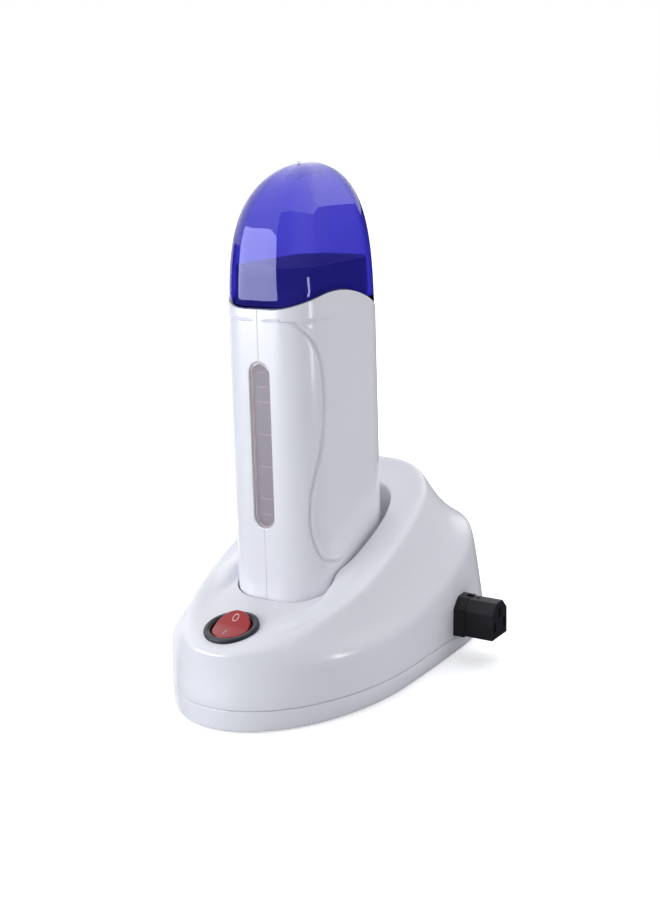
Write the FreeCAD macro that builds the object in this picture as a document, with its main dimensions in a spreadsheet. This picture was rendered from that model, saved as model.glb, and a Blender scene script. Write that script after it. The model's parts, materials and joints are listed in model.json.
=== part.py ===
import FreeCAD, Part

# Roll-on wax heater: a hand unit with a clear cap, docked in a base with a lit rocker switch.
#
# Millimetres, +Z up. The Z axis is the hand unit's own axis and z = 0 is the table under the feet.
# -Y is the nose with the switch, +X the side with the link outlet, -X the side with the inlet.
# Everything but the two connectors and the wiring is symmetric about the plane x = 0.

import math
import os
import re
from types import SimpleNamespace

import Sketcher
from FreeCAD import Placement, Rotation, Vector

# ---------------------------------------------------------------- driving dimensions

SIZES = {
    # hand unit, outside
    "handle_corner": 16.0,
    "handle_draft": 0.65,
    "handle_wall": 2.2,
    "handle_floor": 2.4,
    "handle_top": 175.0,
    "seam_radius": 60.0,
    "seam_middle": -8.5,
    "seam_crest": 169.2,
    "seam_gap": 0.3,
    "groove_width": 1.2,
    "groove_depth": 0.6,
    "fit_gap": 0.05,
    "part_gap": 0.1,
    "seat_gap": 0.2,
    # level window
    "window_width": 10.0,
    "window_foot": 72.6,
    "window_head": 142.4,
    "lens_recess": 0.5,
    "lens_flange": 1.6,
    "lens_flange_thickness": 0.8,
    # cap
    "cap_top": 220.0,
    "cap_inset": 0.3,
    "cap_wall": 1.8,
    "dome_start": 134.6,
    "dome_power_across": 3.9,
    "dome_power_along": 5.2,
    "dome_roundness": 2.02,
    "dome_lean": 5.7,
    "gate_radius": 0.8,
    "gate_height": 0.4,
    # cartridge chamber and heater
    "cartridge_width": 33.0,
    "cartridge_depth": 53.0,
    "cartridge_corner": 12.0,
    "cartridge_gap": 0.75,
    "sleeve_wall": 1.0,
    "sleeve_gap": 1.55,
    "clip_gap": 1.25,
    "sleeve_head": 148.0,
    "sleeve_slot": 8.0,
    "shelf_height": 57.0,
    "shelf_thickness": 3.0,
    "shelf_opening": 24.0,
    "shelf_opening_front": 23.0,
    "chamber_floor_thickness": 2.0,
    "collar_gap": 0.35,
    "collar_cap_gap": 0.6,
    "roller_room": 40.0,
    "heater_width": 12.0,
    "heater_length": 50.0,
    "heater_thickness": 2.6,
    "heater_foot": 88.0,
    "film_margin": 1.0,
    "film_thickness": 0.3,
    "clip_thickness": 0.6,
    "clip_span": 18.0,
    "clip_height": 8.0,
    "cutout_width": 8.0,
    "cutout_length": 18.0,
    "cutout_height": 4.0,
    "cutout_x": 4.0,
    "cutout_y": 15.0,
    "fuse_radius": 2.0,
    "fuse_length": 11.0,
    "fuse_x": 8.0,
    "fuse_y": 6.0,
    # hand unit screws
    "handle_screw_y": 21.0,
    "handle_screw_z": 42.0,
    "handle_screw_sink": 1.5,
    "handle_screw_length": 30.0,
    "handle_boss_radius": 3.6,
    "screw_radius": 1.4,
    "screw_head_radius": 2.7,
    "screw_head_height": 2.0,
    "screw_gap": 0.2,
    # dock connector in the well, and the inlet that drops over it
    "dock_length": 15.6,
    "dock_width": 7.8,
    "dock_height": 12.0,
    "dock_root": 7.0,
    "dock_flange_length": 28.0,
    "dock_flange_width": 13.0,
    "dock_flange_thickness": 2.0,
    "dock_pitch": 8.6,
    "dock_gap": 0.35,
    "dock_screw_y": 11.2,
    "dock_screw_grip": 1.6,
    "dock_screw_radius": 0.9,
    "dock_screw_head_radius": 1.8,
    "dock_screw_head_height": 1.2,
    "pin_radius": 1.15,
    "pin_length": 9.0,
    "contact_gap": 0.3,
    "contact_wall": 0.4,
    "contact_floor": 2.0,
    "contact_sink": 0.6,
    "tail_radius": 0.9,
    "tail_length": 4.0,
    "inlet_wall": 1.8,
    "inlet_roof": 2.6,
    "inlet_flange": 2.0,
    # base outlines, seen from above
    "plan_middle": 1.0,
    "well_middle": 3.5,
    "nose_power": 2.0,
    "parting_power": 5.6,
    "shoulder_power": 5.0,
    "rim_power": 2.95,
    "sole_power": 5.4,
    "mouth_front_power": 3.6,
    "mouth_back_power": 3.4,
    "well_front_power": 4.0,
    "well_back_power": 3.6,
    "parting_half_width": 51.0,
    "parting_front": 77.7,
    "parting_back": 87.9,
    "shoulder_half_width": 52.0,
    "shoulder_front": 75.5,
    "shoulder_back": 71.8,
    "rim_half_width": 40.3,
    "rim_front": 75.5,
    "rim_back": 60.4,
    "sole_half_width": 49.3,
    "sole_front": 78.3,
    "sole_back": 86.9,
    "well_side_gap": 2.8,
    "well_front_gap": 1.8,
    "well_back_gap": 9.0,
    "well_foot_gap": 0.7,
    "well_foot_back_gap": 3.8,
    # base heights
    "foot_height": 0.4,
    "parting_height": 9.5,
    "shoulder_height": 22.4,
    "shoulder_slope": 0.1,
    "shoulder_sweep": 0.0041,
    "skirt_start": 72.0,
    "skirt_run": 45.0,
    "rim_height": 55.8,
    "rim_slope": 0.475,
    "rim_edge_drop": 1.3,
    "rim_edge_slope": 0.4,
    "rim_edge_bow": 0.0013,
    "deck_height": 41.8,
    "deck_slope": 0.217,
    "deck_start": 36.0,
    "deck_lip": 3.0,
    "edge_blend": 2.0,
    "wall_top_drop": 3.0,
    "mouth_drop": 3.2,
    "hollow_end": 17.0,
    "hollow_fade": 5.0,
    "hollow_side_fade": 2.4,
    "shell_wall": 2.4,
    "pan_wall": 2.2,
    "well_floor": 20.0,
    # base screws and feet
    "post_radius": 4.0,
    "front_post_x": 28.0,
    "front_post_y": 46.0,
    "back_post_x": 38.0,
    "back_post_y": 61.0,
    "base_screw_length": 15.0,
    "base_screw_seat": 3.4,
    "pad_radius": 6.0,
    "pad_thickness": 1.2,
    "front_pad_x": 34.0,
    "front_pad_y": 26.0,
    "back_pad_x": 36.0,
    "back_pad_y": 43.0,
    # rocker switch
    "switch_y": 59.4,
    "switch_seat_margin": 0.6,
    "switch_seat_thickness": 2.4,
    "bezel_radius": 11.5,
    "bezel_height": 1.8,
    "bezel_mouth_radius": 8.75,
    "switch_body_radius": 9.8,
    "switch_body_depth": 14.0,
    "switch_floor": 2.0,
    "rocker_radius": 8.1,
    "rocker_sweep": 8.55,
    "rocker_height": 1.9,
    "rocker_skirt": 1.6,
    "rocker_throw": 20.0,
    "rocker_stem_width": 5.0,
    "rocker_stem_length": 3.0,
    "rocker_stem_depth": 5.0,
    "pivot_radius": 0.9,
    "pivot_reach": 0.6,
    "pivot_gap": 0.08,
    "blade_width": 4.8,
    "blade_thickness": 0.8,
    "blade_inside": 1.0,
    "blade_outside": 6.0,
    "blade_pitch": 5.6,
    "lamp_radius": 1.8,
    "lamp_length": 5.0,
    "lamp_x": 5.2,
    # link outlet on one side of the base and the inlet that matches it on the other
    "link_y": 43.5,
    "link_z": 19.7,
    "link_width": 14.6,
    "link_height": 16.2,
    "link_chamfer": 4.2,
    "link_end": 70.0,
    "link_root": 42.0,
    "link_collar": 0.5,
    "link_collar_end": 56.5,
    "link_gap": 0.35,
    "link_pitch": 4.6,
    "link_drop": 2.6,
    "link_rise": 3.0,
    "link_blade_thickness": 1.3,
    "link_blade_height": 4.0,
    "link_blade_length": 12.0,
    "link_socket_depth": 15.0,
    "link_contact_length": 11.0,
    "saddle_width": 3.0,
    "saddle_inset": 2.0,
    "socket_face": 52.4,
    "socket_depth": 17.0,
    "socket_wall": 1.5,
    # wiring
    "wire_radius": 1.1,
    "thin_wire_radius": 0.8,
    "wire_bend": 2.4,
    "lead_rise": 5.0,
    "lead_turn": 6.0,
    "lead_gap": 0.6,
}

# The hand unit is built outwards from the cartridge: sleeve, air space (with the heater and its clip
# at the back) and wall. The collar ends under the cap, with room above it for the roller head.
FOLLOWING = {
    "chamber_width": "cartridge_width + 2 * cartridge_gap",
    "chamber_depth": "cartridge_depth + 2 * cartridge_gap",
    "heater_space": "heater_thickness + film_thickness + clip_thickness + clip_gap",
    "handle_width": "chamber_width + 2 * (sleeve_wall + sleeve_gap + handle_wall)",
    "handle_depth": "chamber_depth + 2 * (sleeve_wall + handle_wall) + sleeve_gap + heater_space",
    "chamber_shift": "(heater_space - sleeve_gap) / 2",
    "collar_top": "cap_top - roller_room",
    "collar_level": "(collar_top - dome_start) / (cap_top - cap_wall - dome_start)",
    "collar_across": "(1 - collar_level ^ dome_power_across) ^ (1 / dome_roundness)",
    "collar_along": "(1 - collar_level ^ dome_power_along) ^ (1 / dome_roundness)",
    "collar_lean": "dome_lean * collar_level ^ dome_power_along",
    "collar_width": "2 * ((handle_width / 2 - cap_inset - cap_wall) * collar_across - collar_cap_gap)",
    "collar_depth": "2 * ((handle_depth / 2 - cap_inset - cap_wall) * collar_along - collar_lean"
                    " - collar_cap_gap)",
}

doc = FreeCAD.newDocument("RollOnWaxHeater")
sheet = doc.addObject("Spreadsheet::Sheet", "Sizes")
cells = dict(SIZES, **{alias: "=" + text for alias, text in FOLLOWING.items()})
for row, (alias, content) in enumerate(cells.items(), 1):
    sheet.set("A%d" % row, alias)
    sheet.set("B%d" % row, str(content))
    sheet.setAlias("B%d" % row, alias)
doc.recompute()
size = SimpleNamespace(**{alias: float(sheet.get(alias)) for alias in cells})

X_AXIS = Vector(1, 0, 0)
Y_AXIS = Vector(0, 1, 0)
Z_AXIS = Vector(0, 0, 1)
FAR = 400.0          # reach of the cutting tools, well past the object on every side

# ---------------------------------------------------------------- document helpers


def formula(text):
    """Turn size names in an expression into references to the spreadsheet."""
    def named(match):
        word = match.group()
        return "Sizes." + word if word in cells else word
    return re.sub(r"[a-z][a-z_]*", named, str(text))


def bind(item, **expressions):
    """Bind properties to spreadsheet expressions; two underscores stand for a dot."""
    for path, text in expressions.items():
        item.setExpression(path.replace("__", "."), formula(text))
    return item


def place(item, x="0", y="0", z="0"):
    return bind(item, Placement__Base__x=x, Placement__Base__y=y, Placement__Base__z=z)


def box(label, x, y, z):
    """A box between two expressions along each axis."""
    item = doc.addObject("Part::Box", label)
    bind(item, Length="(%s) - (%s)" % (x[1], x[0]), Width="(%s) - (%s)" % (y[1], y[0]),
         Height="(%s) - (%s)" % (z[1], z[0]))
    return place(item, x[0], y[0], z[0])


def cylinder(label, radius, length, x="0", y="0", z="0", axis=Z_AXIS):
    """A cylinder that starts at a point and runs along an axis."""
    item = doc.addObject("Part::Cylinder", label)
    item.Placement = Placement(Vector(), Rotation(Z_AXIS, axis))
    bind(item, Radius=radius, Height=length)
    return place(item, x, y, z)


def feature(label, shape):
    """A sub-part form that is worked out by formula rather than from primitives."""
    item = doc.addObject("Part::Feature", label)
    item.Shape = shape
    return item


def cut(label, base, *tools):
    item = doc.addObject("Part::Cut", label)
    item.Base = base
    item.Tool = tools[0] if len(tools) == 1 else fuse(label + "_tools", *tools)
    return item


def fuse(label, *shapes):
    item = doc.addObject("Part::MultiFuse", label)
    item.Shapes = list(shapes)
    return item


def common(label, *shapes):
    item = doc.addObject("Part::MultiCommon", label)
    item.Shapes = list(shapes)
    return item


def group(label, *shapes):
    """Separate solids that share one node."""
    item = doc.addObject("Part::Compound", label)
    item.Links = list(shapes)
    return item


PLANES = {
    "XY": (Rotation(), Z_AXIS),
    "XZ": (Rotation(X_AXIS, Z_AXIS, -Y_AXIS, "XYZ"), -Y_AXIS),
    "YZ": (Rotation(Y_AXIS, Z_AXIS, X_AXIS, "XYZ"), X_AXIS),
}


def sketch_on(label, plane, offset):
    """An empty sketch on a plane, moved along the plane's normal by an expression."""
    sketch = doc.addObject("Sketcher::SketchObject", label)
    turn, normal = PLANES[plane]
    sketch.Placement = Placement(Vector(), turn)
    place(sketch, *("(%s) * %d" % (offset, round(part)) for part in normal))
    return sketch


def rounded_sketch(label, width, depth, corner, plane="XY", offset="0", across="0", up="0"):
    """A rectangle with round corners, whose sides, corner and centre are bound to the sheet."""
    sketch = sketch_on(label, plane, offset)
    half_w, half_d, radius = 20.0, 31.0, 14.0
    line, arc, straight = Part.LineSegment, Part.ArcOfCircle, []
    corners = [(1, -1), (1, 1), (-1, 1), (-1, -1)]
    flat_w, flat_d = half_w - radius, half_d - radius
    for a, b in (((-flat_w, -half_d), (flat_w, -half_d)), ((half_w, -flat_d), (half_w, flat_d)),
                 ((flat_w, half_d), (-flat_w, half_d)), ((-half_w, flat_d), (-half_w, -flat_d))):
        straight.append(sketch.addGeometry(line(Vector(*a), Vector(*b))))
    bends = []
    for number, (sx, sy) in enumerate(corners):
        circle = Part.Circle(Vector(sx * flat_w, sy * flat_d), Z_AXIS, radius)
        start = math.radians(-90 + 90 * number)
        bends.append(sketch.addGeometry(arc(circle, start, start + math.pi / 2)))
    for number in range(4):
        following = (number + 1) % 4
        sketch.addConstraint(Sketcher.Constraint("Tangent", straight[number], 2, bends[number], 1))
        sketch.addConstraint(Sketcher.Constraint("Tangent", bends[number], 2, straight[following], 1))
    for number in (1, 2, 3):
        sketch.addConstraint(Sketcher.Constraint("Equal", bends[0], bends[number]))
    for number, kind in enumerate(("Horizontal", "Vertical", "Horizontal", "Vertical")):
        sketch.addConstraint(Sketcher.Constraint(kind, straight[number]))
    dimensions = (
        ("corner", Sketcher.Constraint("Radius", bends[0], radius), corner),
        ("width", Sketcher.Constraint("DistanceX", straight[3], 1, straight[1], 1, 2 * half_w), width),
        ("depth", Sketcher.Constraint("DistanceY", straight[0], 1, straight[2], 1, 2 * half_d), depth),
        ("right", Sketcher.Constraint("DistanceX", -1, 1, straight[1], 1, half_w),
         "(%s) + (%s) / 2" % (across, width)),
        ("head", Sketcher.Constraint("DistanceY", -1, 1, straight[2], 1, half_d),
         "(%s) + (%s) / 2" % (up, depth)),
    )
    for name, constraint, text in dimensions:
        sketch.renameConstraint(sketch.addConstraint(constraint), name)
        sketch.setExpression("Constraints." + name, formula(text))
    return sketch


def extrude(label, sketch, plane, length):
    item = doc.addObject("Part::Extrusion", label)
    item.Base = sketch
    item.DirMode = "Custom"
    item.Dir = PLANES[plane][1]
    item.Solid = True
    return bind(item, LengthFwd=length)


def rounded_prism(label, width, depth, corner, span, plane="XY", across="0", up="0"):
    """A rounded rectangle swept between two expressions along the plane's normal."""
    sketch = rounded_sketch(label + "_sketch", width, depth, corner, plane, span[0], across, up)
    return extrude(label, sketch, plane, "(%s) - (%s)" % (span[1], span[0]))


parts = []


def sub_part(item, name):
    """Name a finished sub-part: its label is its file's name."""
    item.Label = name
    parts.append(item)
    return item


# ---------------------------------------------------------------- smooth moulded forms


def smooth_step(value):
    value = min(max(value, 0.0), 1.0)
    return value * value * (3 - 2 * value)


def soft_max(first, second, blend):
    return 0.5 * (first + second + math.sqrt((first - second) ** 2 + blend ** 2))


def power(value, exponent):
    return math.copysign(abs(value) ** exponent, value)


def egg(half_width, front, back, middle, front_power, back_power):
    """An egg-shaped plan outline: two superellipse halves that meet at y = middle."""
    def point(angle):
        across, along = math.cos(angle), math.sin(angle)
        length, order = (front + middle, front_power) if along < 0 else (back - middle, back_power)
        return Vector(half_width * power(across, 2 / order), middle + length * power(along, 2 / order))
    return point


def mix(first, second, share):
    return lambda angle: first(angle) * (1 - share) + second(angle) * share


def ring(outline, height, count):
    """Control points around an outline, at a height that is a number or a function of the point."""
    points = []
    for number in range(count):
        point = outline(2 * math.pi * (number + 0.5) / count)
        point.z = height(point) if callable(height) else height
        points.append(point)
    return points


def smooth_skin(rings):
    """The cubic B-spline face through a stack of closed rings of control points."""
    around, along = len(rings[0]), len(rings)
    poles = [[stack[number] for stack in rings] for number in range(around)]
    surface = Part.BSplineSurface()
    surface.buildFromPolesMultsKnots(poles, [1] * (around + 1), [4] + [1] * (along - 4) + [4],
                                     list(range(around + 1)), list(range(along - 2)), True, False, 3, 3)
    return surface.toShape()


def closed_form(rings):
    """A solid between the first and last ring, which are both level."""
    skin = smooth_skin(rings)
    level = [edge for edge in skin.Edges if edge.BoundBox.ZLength < 1e-6]
    lids = [Part.Face(Part.Wire([edge])) for edge in level]
    solid = Part.Solid(Part.Shell([skin] + lids))
    solid.fix(1e-6, 1e-6, 1e-6)
    return solid


# ---------------------------------------------------------------- base: outlines and heights

RING_COUNT = 64


def base_outlines(inset):
    """The base's plan outlines, each moved in by a wall; the two of the well move out."""
    middle, nose = size.plan_middle, size.nose_power
    half_width, half_depth = size.handle_width / 2, size.handle_depth / 2
    loose = size.handle_draft + size.well_foot_gap + inset
    return SimpleNamespace(
        parting=egg(size.parting_half_width - inset, size.parting_front - inset,
                    size.parting_back - inset, middle, nose, size.parting_power),
        shoulder=egg(size.shoulder_half_width - inset, size.shoulder_front - inset,
                     size.shoulder_back - inset, middle, nose, size.shoulder_power),
        rim=egg(size.rim_half_width - inset, size.rim_front - inset, size.rim_back - inset,
                0.0, nose, size.rim_power),
        mouth=egg(half_width + size.well_side_gap + inset, half_depth + size.well_front_gap + inset,
                  half_depth + size.well_back_gap + inset, size.well_middle,
                  size.mouth_front_power, size.mouth_back_power),
        foot=egg(half_width + loose, half_depth + loose,
                 half_depth + size.well_foot_back_gap + inset, size.well_middle,
                 size.well_front_power, size.well_back_power),
        sole=egg(size.sole_half_width - inset, size.sole_front - inset, size.sole_back - inset,
                 middle, nose, size.sole_power),
    )


def deck_line(y):
    return size.deck_height + size.deck_slope * (y + size.deck_start)


def rim_line(y):
    """Height of the rim band where it meets the well."""
    return size.rim_height + size.rim_slope * y


def rim_edge(y):
    """Height of the rim band's outer edge, a shallow bow that follows the deck at the nose."""
    bow = size.rim_height - size.rim_edge_drop + size.rim_edge_slope * y + size.rim_edge_bow * y * y
    return soft_max(bow, deck_line(y) - size.deck_lip, size.edge_blend)


def shoulder_line(y):
    """Height of the shoulder: level along the nose, sweeping up towards the back."""
    return (size.shoulder_height + size.shoulder_slope * (y + size.shoulder_front)
            + size.shoulder_sweep * max(0.0, y + size.plan_middle) ** 2)


def top_height(point):
    """Height of the top between rim and well, with the hollow deck ahead of the hand unit."""
    well_edge = size.handle_width / 2 + size.well_side_gap + size.part_gap
    hollow = (smooth_step((well_edge - abs(point.x)) / size.hollow_side_fade)
              * smooth_step((-size.hollow_end - point.y) / size.hollow_fade))
    band = soft_max(rim_line(point.y), deck_line(point.y), 1.0)
    deck = min(size.deck_height, deck_line(point.y))
    return band * (1 - hollow) + deck * hollow


def skirt_height(at_sides, at_nose):
    """A height between shoulder and rim edge: hollow along the sides, full round the nose."""
    def height(point):
        side = smooth_step((point.y + size.skirt_start) / size.skirt_run)
        share = at_nose + (at_sides - at_nose) * side
        low = shoulder_line(point.y)
        return low + share * (rim_edge(point.y) - low)
    return height


def upper_shell_form(inset, foot, floor):
    """The upper shell's outside and its well as one closed form, moved inwards by a wall."""
    lines = base_outlines(inset)
    parting, shoulder, rim, mouth, well = (lines.parting, lines.shoulder, lines.rim, lines.mouth,
                                           lines.foot)

    def lowered(height, extra=0.0):
        return lambda point: height(point) - inset - extra

    def wall_height(point):
        return foot + 0.5 * (shoulder_line(point.y) - inset - foot)

    rings = (
        (parting, foot),
        (parting, foot + 2.0),
        (mix(parting, shoulder, 0.4), wall_height),
        (mix(parting, shoulder, 0.75), lowered(lambda point: shoulder_line(point.y),
                                                size.wall_top_drop)),
        (shoulder, lowered(skirt_height(0.04, 0.24))),
        (mix(shoulder, rim, 0.3), lowered(skirt_height(0.24, 0.6))),
        (mix(shoulder, rim, 0.68), lowered(skirt_height(0.57, 0.87))),
        (rim, lowered(lambda point: rim_edge(point.y), 0.3)),
        (mix(rim, mouth, 0.14), lowered(lambda point: 0.6 * rim_edge(point.y)
                                        + 0.4 * top_height(point), -1.5)),
        (mix(rim, mouth, 0.4), lowered(top_height, -0.1)),
        (mix(rim, mouth, 0.7), lowered(top_height)),
        (mix(rim, mouth, 0.94), lowered(top_height)),
        (mouth, lowered(top_height)),
        (mix(mouth, well, 0.1), lowered(top_height, 1.2)),
        (mix(mouth, well, 0.15), lowered(top_height, size.mouth_drop)),
        (mix(mouth, well, 0.7), 0.5 * (size.deck_height + size.well_floor) - inset),
        (well, floor),
    )
    return closed_form([ring(outline, height, RING_COUNT) for outline, height in rings])


def pan_form(inset, sole, head):
    """The lower pan: a turned-in wall between the sole and the parting line."""
    lines = base_outlines(inset)
    parting, lowest = lines.parting, lines.sole
    rise = head - sole
    rings = (
        (parting, head),
        (parting, head - 0.25 * rise),
        (mix(parting, lowest, 0.2), head - 0.5 * rise),
        (mix(parting, lowest, 0.6), head - 0.8 * rise),
        (lowest, sole + 0.05 * rise),
        (mix(lowest, egg(1, 1, 1, 0, 2, 2), 0.02), sole),
    )
    return closed_form([ring(outline, height, RING_COUNT) for outline, height in rings])


# ---------------------------------------------------------------- shared sections


def stadium(label, length, width, span, grow="0"):
    """An upright bar with round ends, longest along Y, between two heights."""
    reach = "((%s) - (%s)) / 2" % (length, width)
    radius = "(%s) / 2 + (%s)" % (width, grow)
    middle = box(label + "_middle", ("-(%s)" % radius, radius), ("-%s" % reach, reach), span)
    ends = [cylinder("%s_end_%d" % (label, side > 0), radius, "(%s) - (%s)" % (span[1], span[0]),
                     "0", "%d * %s" % (side, reach), span[0]) for side in (-1, 1)]
    return fuse(label, middle, *ends)


def slot_block(label, width, foot, head, y, grow="0"):
    """A block with round ends, longest along Z, through the front of the hand unit."""
    radius = "(%s) / 2 + (%s)" % (width, grow)
    low = "(%s) + (%s) / 2" % (foot, width)
    high = "(%s) - (%s) / 2" % (head, width)
    middle = box(label + "_middle", ("-(%s)" % radius, radius), y, (low, high))
    ends = [cylinder("%s_%s" % (label, name), radius, "(%s) - (%s)" % (y[1], y[0]), "0", y[0], height,
                     Y_AXIS) for name, height in (("foot", low), ("head", high))]
    return fuse(label, middle, *ends)


def link_block(label, grow, x):
    """The link connector's section, with its two upper corners cut off, between two X values."""
    half = "(link_width / 2 + (%s))" % grow
    head = "(link_z + link_height / 2 + (%s))" % grow
    chamfer = "(link_chamfer + (2 - 2 ^ 0.5) * (%s))" % grow
    block = box(label + "_block", x, ("link_y - %s" % half, "link_y + %s" % half),
                ("link_z - link_height / 2 - (%s)" % grow, head))
    trims = []
    for side in ("-", "+"):
        trim = box(label + ("_near" if side == "-" else "_far"), x, ("0", "4 * link_chamfer"),
                   ("0", "4 * link_chamfer"))
        trim.Placement = Placement(Vector(), Rotation(X_AXIS, 45))
        place(trim, x[0], "link_y %s %s %s %s / 2 ^ 0.5" % (side, half, side, chamfer),
              "%s - %s * (1 + 1 / 2 ^ 0.5)" % (head, chamfer))
        trims.append(trim)
    return cut(label, block, *trims)


LINK_POLES = (("near", "link_y - link_pitch", "link_z - link_drop"),
              ("far", "link_y + link_pitch", "link_z - link_drop"),
              ("earth", "link_y", "link_z + link_rise"))


def link_bars(label, x, grow="0"):
    """Three upright bars at the link connector's poles, one per live, neutral and earth."""
    half_y = "(link_blade_thickness / 2 + (%s))" % grow
    half_z = "(link_blade_height / 2 + (%s))" % grow
    return [box("%s_%s" % (label, pole), x, ("%s - %s" % (y, half_y), "%s + %s" % (y, half_y)),
                ("%s - %s" % (z, half_z), "%s + %s" % (z, half_z))) for pole, y, z in LINK_POLES]


deck_tilt = math.degrees(math.atan(size.deck_slope))
deck_spot = Placement(Vector(0, -size.switch_y, deck_line(-size.switch_y)), Rotation(X_AXIS, deck_tilt))


def on_deck(item, extra="0"):
    """Seat an item that is built about the switch's own axis on the sloping deck."""
    item.Placement = Placement(Vector(), Rotation(X_AXIS, 1))
    bind(item, Placement__Rotation__Angle="atan(deck_slope) + (%s) * 1 deg" % extra)
    return place(item, "0", "-switch_y", "deck_height + deck_slope * (deck_start - switch_y)")


# ---------------------------------------------------------------- base: shells

POSTS = (("-front_post_x", "-front_post_y"), ("front_post_x", "-front_post_y"),
         ("-back_post_x", "back_post_y"), ("back_post_x", "back_post_y"))
PADS = (("-front_pad_x", "-front_pad_y"), ("front_pad_x", "-front_pad_y"),
        ("-back_pad_x", "back_pad_y"), ("back_pad_x", "back_pad_y"))


def round_set(label, radius, span, spots):
    """The same upright cylinder at several places."""
    return [cylinder("%s_%d" % (label, number), radius, "(%s) - (%s)" % (span[1], span[0]), x, y, span[0])
            for number, (x, y) in enumerate(spots)]


upper_outside = feature("upper_outside", upper_shell_form(0.0, size.parting_height, size.well_floor))
upper_inside = feature("upper_inside", upper_shell_form(
    size.shell_wall, size.parting_height - 1.0, size.well_floor - size.shell_wall))
post_blanks = fuse("post_blanks", *round_set("post", "post_radius", ("parting_height", "rim_height"), POSTS))
posts = common("posts", post_blanks, upper_outside)
post_bores = round_set("post_bore", "screw_radius + fit_gap",
                       ("parting_height", "foot_height + base_screw_seat + base_screw_length + 1"), POSTS)
switch_seat = on_deck(cylinder("switch_seat", "bezel_radius + switch_seat_margin", "switch_seat_thickness"))
bind(switch_seat, Placement__Base__y="-switch_y + switch_seat_thickness * sin(atan(deck_slope))",
     Placement__Base__z="deck_height + deck_slope * (deck_start - switch_y)"
                        " - switch_seat_thickness * cos(atan(deck_slope))")
switch_hole = on_deck(cylinder("switch_hole", "switch_body_radius + part_gap", "2 * switch_body_depth"))
bind(switch_hole, Placement__Base__y="-switch_y + switch_body_depth * sin(atan(deck_slope))",
     Placement__Base__z="deck_height + deck_slope * (deck_start - switch_y)"
                        " - switch_body_depth * cos(atan(deck_slope))")
bezel_room = on_deck(cylinder("bezel_room", "bezel_radius + part_gap", "2 * bezel_height"))
dock_hole = stadium("dock_hole", "dock_length", "dock_width",
                    ("well_floor - shell_wall - 1", "well_floor + 1"), "part_gap")
dock_bores = [cylinder("dock_bore_%d" % (side > 0), "dock_screw_radius + fit_gap", "dock_screw_grip + 0.2",
                       "0", "%d * dock_screw_y" % side, "well_floor - shell_wall") for side in (-1, 1)]
outlet_hole = link_block("outlet_hole", "link_collar + part_gap", ("link_root", "link_end"))
socket_outside = "link_gap + socket_wall"
socket_hole = link_block("socket_hole", socket_outside + " + part_gap", ("-link_end", "-link_root"))
socket_notch = box("socket_notch", ("-link_end", "-link_root"),
                   ("link_y - link_width / 2 - (%s) - part_gap" % socket_outside,
                    "link_y + link_width / 2 + (%s) + part_gap" % socket_outside),
                   ("parting_height - 1", "link_z"))
upper_shell = cut("upper_shell", fuse("upper_solid", cut("upper_hollow", upper_outside, upper_inside),
                                      posts, switch_seat),
                  switch_hole, bezel_room, dock_hole, outlet_hole, socket_hole, socket_notch, *post_bores,
                  *dock_bores)
sub_part(upper_shell, "base_upper_shell")

pan_outside = feature("pan_outside", pan_form(0.0, size.foot_height, size.parting_height))
pan_inside = feature("pan_inside", pan_form(size.pan_wall, size.foot_height + size.pan_wall,
                                            size.parting_height + 1.0))
pan_bosses = round_set("pan_boss", "post_radius", ("foot_height", "parting_height"), POSTS)
saddles = [box("saddle_" + name, x, ("link_y - link_width / 2 + saddle_inset",
                                     "link_y + link_width / 2 - saddle_inset"),
               ("foot_height + pan_wall / 2", "link_z - link_height / 2 - (%s)" % drop))
           for name, x, drop in (
               ("outlet", ("link_root + saddle_width", "link_root + 2 * saddle_width"), "0"),
               ("socket", ("-link_root - saddle_width", "-link_root"), socket_outside))]
pad_recesses = round_set("pad_recess", "pad_radius", ("foot_height - 1", "pad_thickness"), PADS)
head_sinks = round_set("head_sink", "screw_head_radius + screw_gap",
                       ("foot_height - 1", "foot_height + base_screw_seat"), POSTS)
shank_holes = round_set("shank_hole", "screw_radius + screw_gap", ("foot_height", "parting_height + 1"),
                        POSTS)
lower_pan = cut("lower_pan", fuse("pan_solid", cut("pan_hollow", pan_outside, pan_inside),
                                  *pan_bosses, *saddles), *pad_recesses, *head_sinks, *shank_holes)
sub_part(lower_pan, "base_lower_pan")
sub_part(group("pads", *round_set("pad", "pad_radius", ("0", "pad_thickness"), PADS)), "rubber_feet")

screw_bodies = []
for number, (x, y) in enumerate(POSTS):
    head = cylinder("base_head_%d" % number, "screw_head_radius", "screw_head_height", x, y,
                    "foot_height + base_screw_seat - screw_head_height")
    shank = cylinder("base_shank_%d" % number, "screw_radius", "base_screw_length", x, y,
                     "foot_height + base_screw_seat")
    screw_bodies.append(fuse("base_screw_%d" % number, head, shank))
sub_part(group("screws_of_base", *screw_bodies), "base_screws")

# ---------------------------------------------------------------- base: rocker switch

bezel = cylinder("bezel", "bezel_radius", "bezel_height")
switch_can = cylinder("switch_can", "switch_body_radius", "switch_body_depth", z="-switch_body_depth")
switch_room = cylinder("switch_room", "bezel_mouth_radius",
                       "bezel_height + 1 + switch_body_depth - switch_floor",
                       z="switch_floor - switch_body_depth")
pivot_bore = cylinder("pivot_bore", "pivot_radius + pivot_gap",
                      "2 * (bezel_mouth_radius + pivot_reach + pivot_gap)",
                      "-(bezel_mouth_radius + pivot_reach + pivot_gap)", axis=X_AXIS)


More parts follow.
